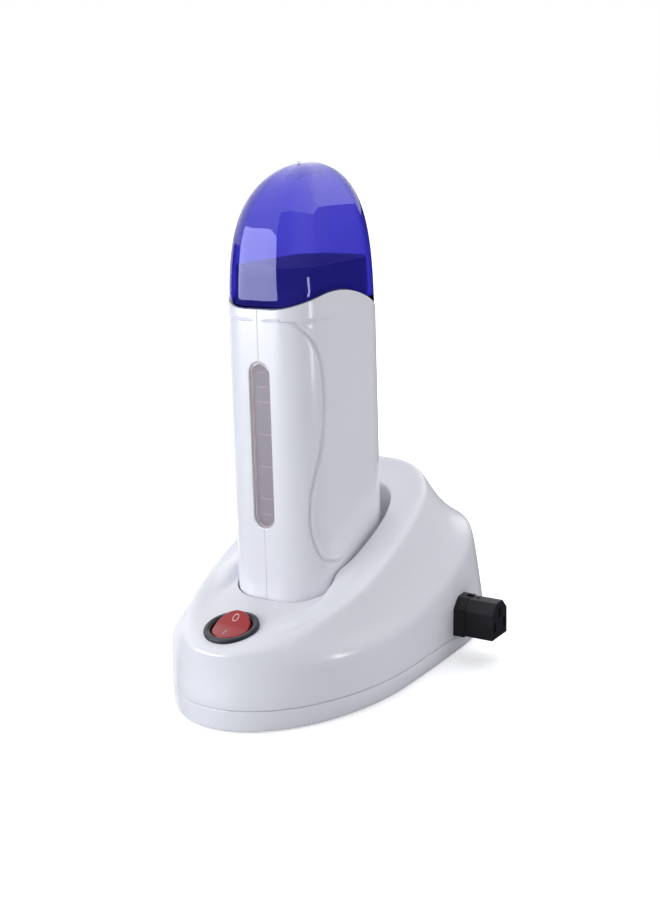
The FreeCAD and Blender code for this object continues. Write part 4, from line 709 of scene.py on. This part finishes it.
def build_handle(side, name, node):
    """One half of the housing: side is 1 for +X and -1 for -X."""
    columns = handle_columns()
    count = len(columns)
    seam = seam_height(columns[:, 1] + columns[:, 3] * CORNER)
    straight = np.concatenate([FOOT_ROWS, np.arange(22.0, 50, 2.5), np.arange(50, ARCH_START, 0.5)])
    arched = np.linspace(0, 1, 70)[:-1]
    z = np.concatenate([np.repeat(straight[:, None], count, 1),
                        ARCH_START + arched[:, None] * (seam - SEAM_ROWS[0] - ARCH_START)[None],
                        np.stack([seam - drop for drop in SEAM_ROWS])])
    inset = groove_depth(np.repeat(columns[None, :, 4], len(z), 0), z)
    inset[:len(FOOT_TURN)] += np.array(FOOT_TURN)[:, None]
    inset[-len(SEAM_TURN):] += np.array(SEAM_TURN)[:, None]
    for column, drop in enumerate(SPLIT_TURN):
        inset[:, column] += drop
        inset[:, count - 1 - column] += drop
    outer = wall_points(columns, handle_radius(z) - inset, z, side)
    straight = np.array([HANDLE_FOOT + HANDLE_FLOOR, 60, 100, ARCH_START])
    z = np.concatenate([np.repeat(straight[:, None], count, 1),
                        ARCH_START + np.array([0.5, 1.0])[:, None] * (seam - ARCH_START)])
    inner = wall_points(columns, handle_radius(z) - WALL, z, side)
    half = make_piece(name, *half_wall(outer, inner), "handle", "shell_white", smooth=HANDLE_SMOOTH)

    edge = [(WINDOW_EDGE * (1 - sin(angle)), WINDOW_EDGE * (1 - cos(angle)))
            for angle in np.linspace(0, pi / 2, 6)]
    cutters = [window_form([(WINDOW_EDGE, -1.5)] + edge + [(0.0, 8.0)]),
               upright_bar(INLET_BAR, INLET_RADIUS, HANDLE_FOOT - 1, HANDLE_FOOT + HANDLE_FLOOR + 1)]
    if side < 0:
        for y in (-SCREW_Y, SCREW_Y):
            turn = Matrix.Translation((SCREW_START, y, SCREW_Z)) @ Matrix.Rotation(pi / 2, 4, "Y")
            cutters.append(lathe(((SCREW_HOLE, 0), (SCREW_HOLE, SCREW_DEPTH)), 32, turn))
    carve(half, *cutters, angle=HANDLE_SMOOTH)
    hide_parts(node)


# -------------------------------- cap

CAP_TOP, DOME_START, CAP_WALL, CAP_GAP = 220.0, 134.6, 1.8, 0.14
CAP_HALF_X, CAP_HALF_Y, CAP_INSET = 22.0, 33.6, 0.3
CROWN_SHARE = 0.6  # the wall at the crown, as a share of the wall at the side
DOME_ACROSS, DOME_ALONG, DOME_ROUND, DOME_MEAN, DOME_LEAN = 3.9, 5.2, 2.02, 4.55, 5.7
CAP_COLUMNS, CAP_SMOOTH = 192, 50


def rounded_ring(half_width, half_depth, radius, count):
    """A rounded rectangle, evenly spaced along its edge."""
    dense = []
    for sx, sy, start in ((1, 1, 0.0), (-1, 1, 0.5), (-1, -1, 1.0), (1, -1, 1.5)):
        for step in range(33):
            angle = pi * (start + 0.5 * step / 32)
            dense.append((sx * (half_width - radius) + radius * cos(angle),
                          sy * (half_depth - radius) + radius * sin(angle)))
    dense = np.array(dense + dense[:1])
    run = np.concatenate([[0], np.cumsum(np.linalg.norm(np.diff(dense, axis=0), axis=1))])
    at = np.arange(count) * run[-1] / count
    return np.column_stack([np.interp(at, run, dense[:, axis]) for axis in (0, 1)])


def cap_grid(inset, rows):
    """The dome's points from the arched seam to the crown."""
    sizes = (part - CAP_INSET - inset for part in (CAP_HALF_X, CAP_HALF_Y, CORNER))
    base = rounded_ring(*sizes, CAP_COLUMNS)
    rise = CAP_TOP - inset * CROWN_SHARE - DOME_START

    def spot(level):
        across = (1 - level ** DOME_ACROSS) ** (1 / DOME_ROUND)
        along = (1 - level ** DOME_ALONG) ** (1 / DOME_ROUND)
        lean = DOME_LEAN * level ** DOME_ALONG
        return np.stack([base[:, 0] * across, base[:, 1] * along + lean, DOME_START + rise * level], -1)

    level = np.full(CAP_COLUMNS, 0.35)
    for _ in range(40):
        level = (seam_height(spot(level)[:, 1], CAP_GAP) - DOME_START) / rise
    start = np.arcsin(level ** (DOME_MEAN / 2))
    angles = [start + share * (radians(89.7) - start) for share in np.linspace(0, 1, rows)]
    return np.stack([spot(np.sin(angle) ** (2 / DOME_MEAN)) for angle in angles])


def build_cap():
    """The dome, with a rounded edge at the seam."""
    outer, inner = cap_grid(0.0, 56), cap_grid(CAP_WALL, 40)
    edge = [outer[0] + (inner[0] - outer[0]) * share + np.array([0, 0, lift])
            for share, lift in ((0.16, 0.0), (0.05, 0.08), (0.0, 0.3))]
    outer = np.concatenate([np.stack(edge), outer[1:]])
    cap = make_piece("cap_dome", *walled_form(outer, inner), "cap", "cap_blue", smooth=CAP_SMOOTH)
    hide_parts("transparent_cap")


def build_gate_mark():
    """The small mark of the moulding gate on the cap's crown."""
    profile = ((0.8, 0.0), (0.78, 0.08), (0.6, 0.16), (0.45, 0.28), (0.25, 0.33))
    make_piece("gate_mark", *lathe(profile, 32, Matrix.Translation((0, 0, CAP_TOP))), "cap", "gate_blue",
               "cap_blue", CAP_SMOOTH)


# -------------------------------- switch

BEZEL_RADIUS, BEZEL_HEIGHT, MOUTH_RADIUS, CAN_RADIUS, CAN_DEPTH, CAN_FLOOR = 11.5, 1.8, 8.75, 9.8, 14.0, 2.0
BEZEL_EDGE, BEZEL_LIP, BEZEL_STEP, BEZEL_FOOT, CAN_MIDDLE = 0.8, 0.35, 0.45, 0.12, 0.01
ROCKER_RADIUS, ROCKER_SWEEP, ROCKER_HEIGHT, ROCKER_SKIRT, HALF_THROW = 8.1, 8.55, 1.9, 1.6, radians(10)
ROCKER_EDGE, ROCKER_COUNT, ROCKER_RIDGE = 0.45, 120, 2.2
ROCKER_SHARES = (0.03, 0.12, 0.24, 0.36, 0.48, 0.6, 0.72, 0.82, 0.9, 0.95)
ROCKER_PLACE = DECK @ Matrix.Rotation(HALF_THROW, 4, "X")
PRINT_LIFT, PRINT_TOP, SIGN_SMOOTH = 0.02, 0.1, 30
SIGN_O, SIGN_O_PLACE = ((1.35, 1.8), (1.05, 1.48)), 4.3
SIGN_I, SIGN_I_HALF = (-6.1, -2.7, 8), 0.14


def arc(centre, radius, start, end, count):
    """Points of an arc in a plane, with its angles in degrees."""
    angles = np.radians(np.linspace(start, end, count))
    return [(centre[0] + radius * cos(angle), centre[1] + radius * sin(angle)) for angle in angles]


def build_bezel():
    """The panel switch's black case: a rounded bezel with a fine step round its mouth, and the can."""
    ledge = BEZEL_HEIGHT - BEZEL_STEP
    section = [(CAN_MIDDLE, CAN_FLOOR - CAN_DEPTH), (MOUTH_RADIUS, CAN_FLOOR - CAN_DEPTH)]
    section += [(MOUTH_RADIUS, BEZEL_HEIGHT - 0.9)]
    section += arc((MOUTH_RADIUS + BEZEL_LIP, ledge - BEZEL_LIP), BEZEL_LIP, 180, 90, 6)
    section += [(MOUTH_RADIUS + 0.75, ledge)]
    section += arc((MOUTH_RADIUS + 1.1, BEZEL_HEIGHT - BEZEL_LIP), BEZEL_LIP, 170, 90, 6)
    section += arc((BEZEL_RADIUS - BEZEL_EDGE, BEZEL_HEIGHT - BEZEL_EDGE), BEZEL_EDGE, 90, 5, 10)
    section += [(BEZEL_RADIUS, BEZEL_FOOT), (BEZEL_RADIUS - BEZEL_FOOT, 0.0)]
    section += [(CAN_RADIUS, 0.0), (CAN_RADIUS, -CAN_DEPTH), (CAN_MIDDLE, -CAN_DEPTH)]
    bezel = make_piece("switch_bezel", *loop_form(lathe_rings(section, 128, DECK)), "base", "switch_black",
                       smooth=40)
    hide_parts("switch_housing")


def rocker_top(x, y):
    """The rocker's dished upper face over its own plan, highest at the two ends."""
    slope = tan(HALF_THROW)
    ridge = sqrt(y * y + ROCKER_RIDGE ** 2) - ROCKER_RIDGE
    return ROCKER_HEIGHT - 0.25 + slope * ridge * 1.06 + 0.09 * max(0.0, y) - 0.008 * x * x


def build_rocker():
    """A translucent rocker, dished along its length, with a rounded edge, and swung inside its sweep."""
    rings = []
    for share in ROCKER_SHARES:
        ring = circle(ROCKER_RADIUS * share, ROCKER_RADIUS * share, ROCKER_COUNT)
        rings.append([(x, y, rocker_top(x, y)) for x, y in ring])
    for turn in (30, 60, 90):
        reach = ROCKER_RADIUS - ROCKER_EDGE + ROCKER_EDGE * sin(radians(turn))
        drop = ROCKER_EDGE * (1 - cos(radians(turn)))
        rings.append([(x, y, rocker_top(x, y) - 0.06 - drop) for x, y in circle(reach, reach, ROCKER_COUNT)])
    for low in (0.0, -ROCKER_SKIRT * 0.6, -ROCKER_SKIRT):
        rings.append([(x, y, low) for x, y in circle(ROCKER_RADIUS, ROCKER_RADIUS, ROCKER_COUNT)])

    def swung(x, y, z):
        swing = hypot(y, z)
        shrink = min(1.0, ROCKER_SWEEP / swing) if swing else 1.0
        return tuple(ROCKER_PLACE @ Vector((x, y * shrink, z * shrink)))

    rings = [[swung(*point) for point in ring] for ring in rings]
    rocker = make_piece("rocker_button", *stack_form(rings), "rocker", "rocker_red", smooth=50)
    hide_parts("switch_rocker")


def printed(x, y, rise):
    """A point at a height over the rocker's upper face."""
    return tuple(ROCKER_PLACE @ Vector((x, y, rocker_top(x, y) + rise)))


def build_signs():
    """The O at the raised end and the I at the low end, as a thin ring and bar of print."""
    outer, inner = (circle(*half, 48) for half in SIGN_O)
    section = (outer, PRINT_LIFT), (outer, PRINT_TOP), (inner, PRINT_TOP), (inner, PRINT_LIFT)
    rings = [[printed(x, SIGN_O_PLACE + y, rise) for x, y in ring] for ring, rise in section]
    make_piece("sign_off", *loop_form(rings), "rocker", "sign_white", "rocker_red", SIGN_SMOOTH)
    section = ((-SIGN_I_HALF, PRINT_LIFT), (SIGN_I_HALF, PRINT_LIFT),
               (SIGN_I_HALF, PRINT_TOP), (-SIGN_I_HALF, PRINT_TOP))
    rings = [[printed(x, y, rise) for x, rise in section] for y in np.linspace(*SIGN_I)]
    make_piece("sign_on", *stack_form(rings), "rocker", "sign_white", "rocker_red", SIGN_SMOOTH)


# -------------------------------- link connector

COLLAR_START, COLLAR_END, COLLAR_RISE = 47.0, 56.5, 0.5
LINK_EDGE, LINK_SMOOTH = 0.32, 25
LATCH_X, LATCH_Z, LATCH_RADIUS = 59.6, 7.5, 0.9

# Slots from the middle of the connector's section: y, z, half sizes, and their start and end along X
POLES = [(y, z, 0.95, 2.3, LINK_END - 12, LINK_END + 1) for y, z in ((-4.6, -2.6), (4.6, -2.6), (0.0, 3.0))]
NOTCH = (0, 8.6, 1.6, 0.8, COLLAR_END - 2.6, COLLAR_END + 0.5)


def bevel_edges(item, width):
    """Round every edge of an item that is sharper than 30 degrees."""
    change = item.modifiers.new("bevel", "BEVEL")
    change.width = width * MM
    change.segments = 3
    change.limit_method = "ANGLE"
    change.angle_limit = radians(30)
    settle(item, LINK_SMOOTH)


def slot_bar(y, z, half_y, half_z, start, end):
    corners = [(LINK_Y + y + turn_y * half_y, LINK_Z + z + turn_z * half_z)
               for turn_y, turn_z in ((-1, -1), (1, -1), (1, 1), (-1, 1))]
    return stack_form([[(x, *corner) for corner in corners] for x in (start, end)])


def build_link():
    """The black connector: a chamfered block with a root collar, three slots and a latch dimple."""
    form = link_form((0, LINK_START), (0, COLLAR_START), (COLLAR_RISE, COLLAR_START), (COLLAR_RISE, COLLAR_END),
                     (0, COLLAR_END), (0, LINK_END))
    block = make_piece("link_connector", *form, "base", "connector_black", smooth=LINK_SMOOTH)
    bevel_edges(block, LINK_EDGE)
    latch = lathe(((LATCH_RADIUS, 0), (LATCH_RADIUS, 2)), 32,
                  Matrix.Translation((LATCH_X, LINK_Y, LINK_Z + LATCH_Z)))
    carve(block, *(slot_bar(*slot) for slot in POLES), latch, slot_bar(*NOTCH), angle=LINK_SMOOTH)
    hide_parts("link_outlet")


# -------------------------------- level window

# Depths behind the housing's front: the pane, and the plate with its marks behind it
PANE_FRONT, PANE_BACK, PLATE_FRONT, PLATE_BACK, MARK_FRONT = 0.55, 1.4, 2.42, 2.6, 2.36
WALL_SECTION = ((-0.1, 1.45), (-0.1, 2.4), (-0.85, 2.4), (-0.7, 1.45))
MARK_HALF = 0.12
WHOLE_MARKS, WHOLE_SPAN = (18.1, 4.5, -9.1, -22.7), (-2.6, 3.9)
SHORT_MARKS, SHORT_SPAN = (30.3, 24.3, -29.4), (-1.8, 2.4)
BOX_FACES = ((0, 1, 2, 3), (7, 6, 5, 4), (0, 4, 5, 1), (1, 5, 6, 2), (2, 6, 7, 3), (3, 7, 4, 0))


def sheet_levels(back, sides, front, insets):
    """Rings of a sheet that follows the housing's slight curve: its back, its sides and its front."""
    return ([(-inset, back) for inset in (4.7, 2.4, -sides[0][0])] + list(sides)
            + [(-inset, front) for inset in insets])


def build_window():
    """A clear pane in the slot, a wall round it whose pinkish pale colour is painted bounce light from the
    plate, and the level scale behind it.
    """
    # The wall's pinkish pale colour is painted bounce light
    wall = make_piece("window_wall", *window_form(WALL_SECTION, loop_form), "handle", "window_wall",
                      "window_clear", HANDLE_SMOOTH)
    pane = sheet_levels(PANE_BACK, ((-0.12, 0.75), (-0.24, 0.6)), PANE_FRONT,
                        (0.42, 1.2, 2.1, 3.0, 3.9, 4.4, 4.7))
    make_piece("window_pane", *window_form(pane), "handle", "window_clear", smooth=HANDLE_SMOOTH)
    plate = sheet_levels(PLATE_BACK, ((-0.05, PLATE_FRONT),), PLATE_FRONT, (1.0, 2.0, 3.0, 3.9, 4.4, 4.7))
    make_piece("level_plate", *window_form(plate), "handle", "level_plate", "window_clear", HANDLE_SMOOTH)
    points, faces = [], []
    for heights, (left, right) in ((WHOLE_MARKS, WHOLE_SPAN), (SHORT_MARKS, SHORT_SPAN)):
        for height in heights:
            first = len(points)
            low, high = height - MARK_HALF, height + MARK_HALF
            points += [window_spot(across, up, depth) for depth in (PLATE_FRONT, MARK_FRONT)
                       for across, up in ((left, low), (right, low), (right, high), (left, high))]
            faces += [[first + corner for corner in face] for face in BOX_FACES]
    make_piece("level_marks", points, faces, "handle", "sign_white", "window_clear", 30)
    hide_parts("window_lens")


build_base()
build_handle(1, "housing_right", "handle_shell_right")
build_handle(-1, "housing_left", "handle_shell_left")
build_cap()
build_bezel()
build_rocker()
build_signs()
build_link()
build_window()
build_gate_mark()

# -------------------------------- camera

AZIMUTH, ELEVATION, ROLL = 33.011, 13.399, 1.620
TARGET = Vector((-1.642, 20.0, 94.181)) * MM
DISTANCE = 617.52 * MM
FOCAL_LENGTH, SENSOR_WIDTH, CLIP_START = 55.70, 36.0, 0.01


def toward(azimuth, elevation):
    """A direction from the object: azimuth from the nose towards the connector, elevation up, in degrees."""
    turn, rise = radians(azimuth), radians(elevation)
    return Vector((sin(turn) * cos(rise), -cos(turn) * cos(rise), sin(rise)))


def build_camera():
    """The camera that the photograph was solved for, with a slight roll."""
    turn, roll = radians(AZIMUTH), radians(ROLL)
    backward = toward(AZIMUTH, ELEVATION)
    level = Vector((cos(turn), sin(turn), 0))
    upright = backward.cross(level)
    across = level * cos(roll) - upright * sin(roll)
    over = level * sin(roll) + upright * cos(roll)
    lens = bpy.data.cameras.new("photo_camera")
    lens.lens = FOCAL_LENGTH
    lens.sensor_width = SENSOR_WIDTH
    lens.clip_start = CLIP_START
    camera = new_object("photo_camera", lens)
    facing = Matrix((across, over, backward)).transposed().to_4x4()
    camera.matrix_world = Matrix.Translation(TARGET + backward * DISTANCE) @ facing
    scene.camera = camera


build_camera()

# -------------------------------- floor, world and lamps (in metres)

WORLD_COLOUR, WORLD_STRENGTH = (0.96, 0.97, 1.0, 1), 0.4
FLOOR_COLOUR, FLOOR_REACH = (0.8, 0.8, 0.82, 1), 6.0
FADE = {"From_Min": 0.12, "From_Max": 0.45, "To_Min": 0.5, "To_Max": 1.0}
DOME, MIDDLE = Vector((0, 0, 0.19)), Vector((0, 0, 0.15))

# The dark card: its upper edge as (azimuth, elevation) in degrees, its foot's elevation, and its distance
CARD_EDGE = ((-102, 4), (-61, 11), (-60, 0), (-8, 0), (-7, 52), (42, 55), (80, 45), (107, 33),
             (132, 21), (150, 17), (158, 9), (200, 4))
CARD_FOOT, CARD_REACH, CARD_COLUMNS, CARD_ROWS = -80, 1.15, 240, 16
CARD_COLOUR = (0.02, 0.02, 0.02, 1)


def pale_stage(tree, kind, surface, glow):
    """White to the camera and in reflections and glass, and plain lit paint to everything else."""
    path = add_node(tree, "LightPath")
    seen = add_node(tree, "Math", (path, "Is Camera Ray"), (path, "Is Glossy Ray"), setting="MAXIMUM")
    shown = add_node(tree, "Math", (seen, 0), (path, "Is Transmission Ray"), setting="MAXIMUM")
    blend = add_node(tree, "MixShader", (shown, 0), (surface, 0), (glow, 0))
    add_node(tree, kind, (blend, 0))


def build_world():
    """Soft light from all round, and white where it is seen."""
    world = bpy.data.worlds.new("studio")
    world.use_nodes = True
    tree = world.node_tree
    tree.nodes.clear()
    light = add_node(tree, "Background", Color=WORLD_COLOUR, Strength=WORLD_STRENGTH)
    white = add_node(tree, "Background", Color=(1, 1, 1, 1), Strength=1.0)
    pale_stage(tree, "OutputWorld", light, white)
    scene.world = world


def stage_mesh(name, points, faces, material):
    mesh = bpy.data.meshes.new(name)
    mesh.from_pydata(points, [], faces)
    mesh.materials.append(material)
    item = new_object(name, mesh)
    return item


def build_floor():
    """A pale floor: its shadow shows round the object, and it fades to pure white further out."""
    material = bpy.data.materials.new("pale_floor")
    material.use_nodes = True
    tree = material.node_tree
    tree.nodes.clear()
    paint = add_node(tree, "BsdfDiffuse", Color=FLOOR_COLOUR)
    place = add_node(tree, "TexCoord")
    away = add_node(tree, "VectorMath", (place, "Object"), setting="LENGTH")
    brighter = add_node(tree, "MapRange", (away, "Value"), **FADE)
    glow = add_node(tree, "Emission")
    wire(brighter, "Result", glow, "Strength")
    lit = add_node(tree, "AddShader", (paint, 0), (glow, 0))
    pale_stage(tree, "OutputMaterial", paint, lit)
    corners = [(x * FLOOR_REACH, y * FLOOR_REACH, 0) for x, y in ((-1, -1), (1, -1), (1, 1), (-1, 1))]
    stage_mesh("floor", corners, [(0, 1, 2, 3)], material).visible_glossy = False


def show_only(item, ray):
    """Let one kind of ray alone see an item."""
    for kind in ("camera", "diffuse", "glossy", "transmission"):
        setattr(item, "visible_" + kind, kind == ray)


def build_card():
    """A dark card with an arched upper edge, which only reflections see, as stands by glossy things."""
    material = bpy.data.materials.new("dark_card")
    material.use_nodes = True
    shader = material.node_tree.nodes["Principled BSDF"]
    shader.inputs["Base Color"].default_value = CARD_COLOUR
    shader.inputs["Roughness"].default_value = 1.0
    edge = np.array(CARD_EDGE, float)
    turns = np.linspace(edge[0, 0], edge[-1, 0], CARD_COLUMNS)
    tops = np.interp(turns, edge[:, 0], edge[:, 1])
    points = [DOME + toward(turn, CARD_FOOT + (top - CARD_FOOT) * row / (CARD_ROWS - 1)) * CARD_REACH
              for row in range(CARD_ROWS) for turn, top in zip(turns, tops)]
    card = stage_mesh("dark_card", points, grid_faces(CARD_ROWS, CARD_COLUMNS), material)
    show_only(card, "glossy")
    card.visible_shadow = False


def lamp(name, place, aim, size, radiance, ray, colour=(1, 1, 1)):
    """A softbox of a given brightness, for one kind of ray."""
    light = bpy.data.lights.new(name, "AREA")
    light.shape = "RECTANGLE"
    light.size, light.size_y = size
    light.energy = radiance * pi * size[0] * size[1]
    light.color = colour
    item = new_object(name, light)
    place, aim = Vector(place), Vector(aim)
    facing = (place - aim).to_track_quat("Z", "Y").to_matrix().to_4x4()
    item.matrix_world = Matrix.Translation(place) @ facing
    show_only(item, ray)


def build_lamps():
    """Three lamps light the object, and four are seen in its gloss alone."""
    lamp("key_softbox", MIDDLE + toward(-28, 10) * 0.8, (0, 0, 0.12), (0.6, 0.5), 4.2, "diffuse",
         (0.94, 0.97, 1.0))
    lamp("band_high", (-0.436, -0.671, 0.425), (0, 0, 0.425), (0.8, 0.33), 7.4, "glossy", (0.95, 0.97, 1.0))
    lamp("band_low", (-0.436, -0.671, 0.16), (0, 0, 0.16), (0.8, 0.2), 8.5, "glossy", (0.95, 0.97, 1.0))
    lamp("overhead_softbox", (0.1, 0.5, 1.0), (0, 0.05, 0.1), (1.0, 1.0), 1.75, "diffuse", (0.96, 0.98, 1.0))
    lamp("right_fill", MIDDLE + toward(116, -8) * 0.48, MIDDLE, (0.5, 0.3), 1.25, "diffuse")
    lamp("ceiling_reflection", (0, 0, 2.2), (0, 0, 0), (30.0, 30.0), 0.64, "glossy")
    lamp("side_strip", (0.38, -0.015, 0.13), (0.0, -0.015, 0.13), (0.05, 0.112), 11.0, "glossy")


build_world()
build_floor()
build_card()
build_lamps()
scene.view_settings.view_transform = "Standard"
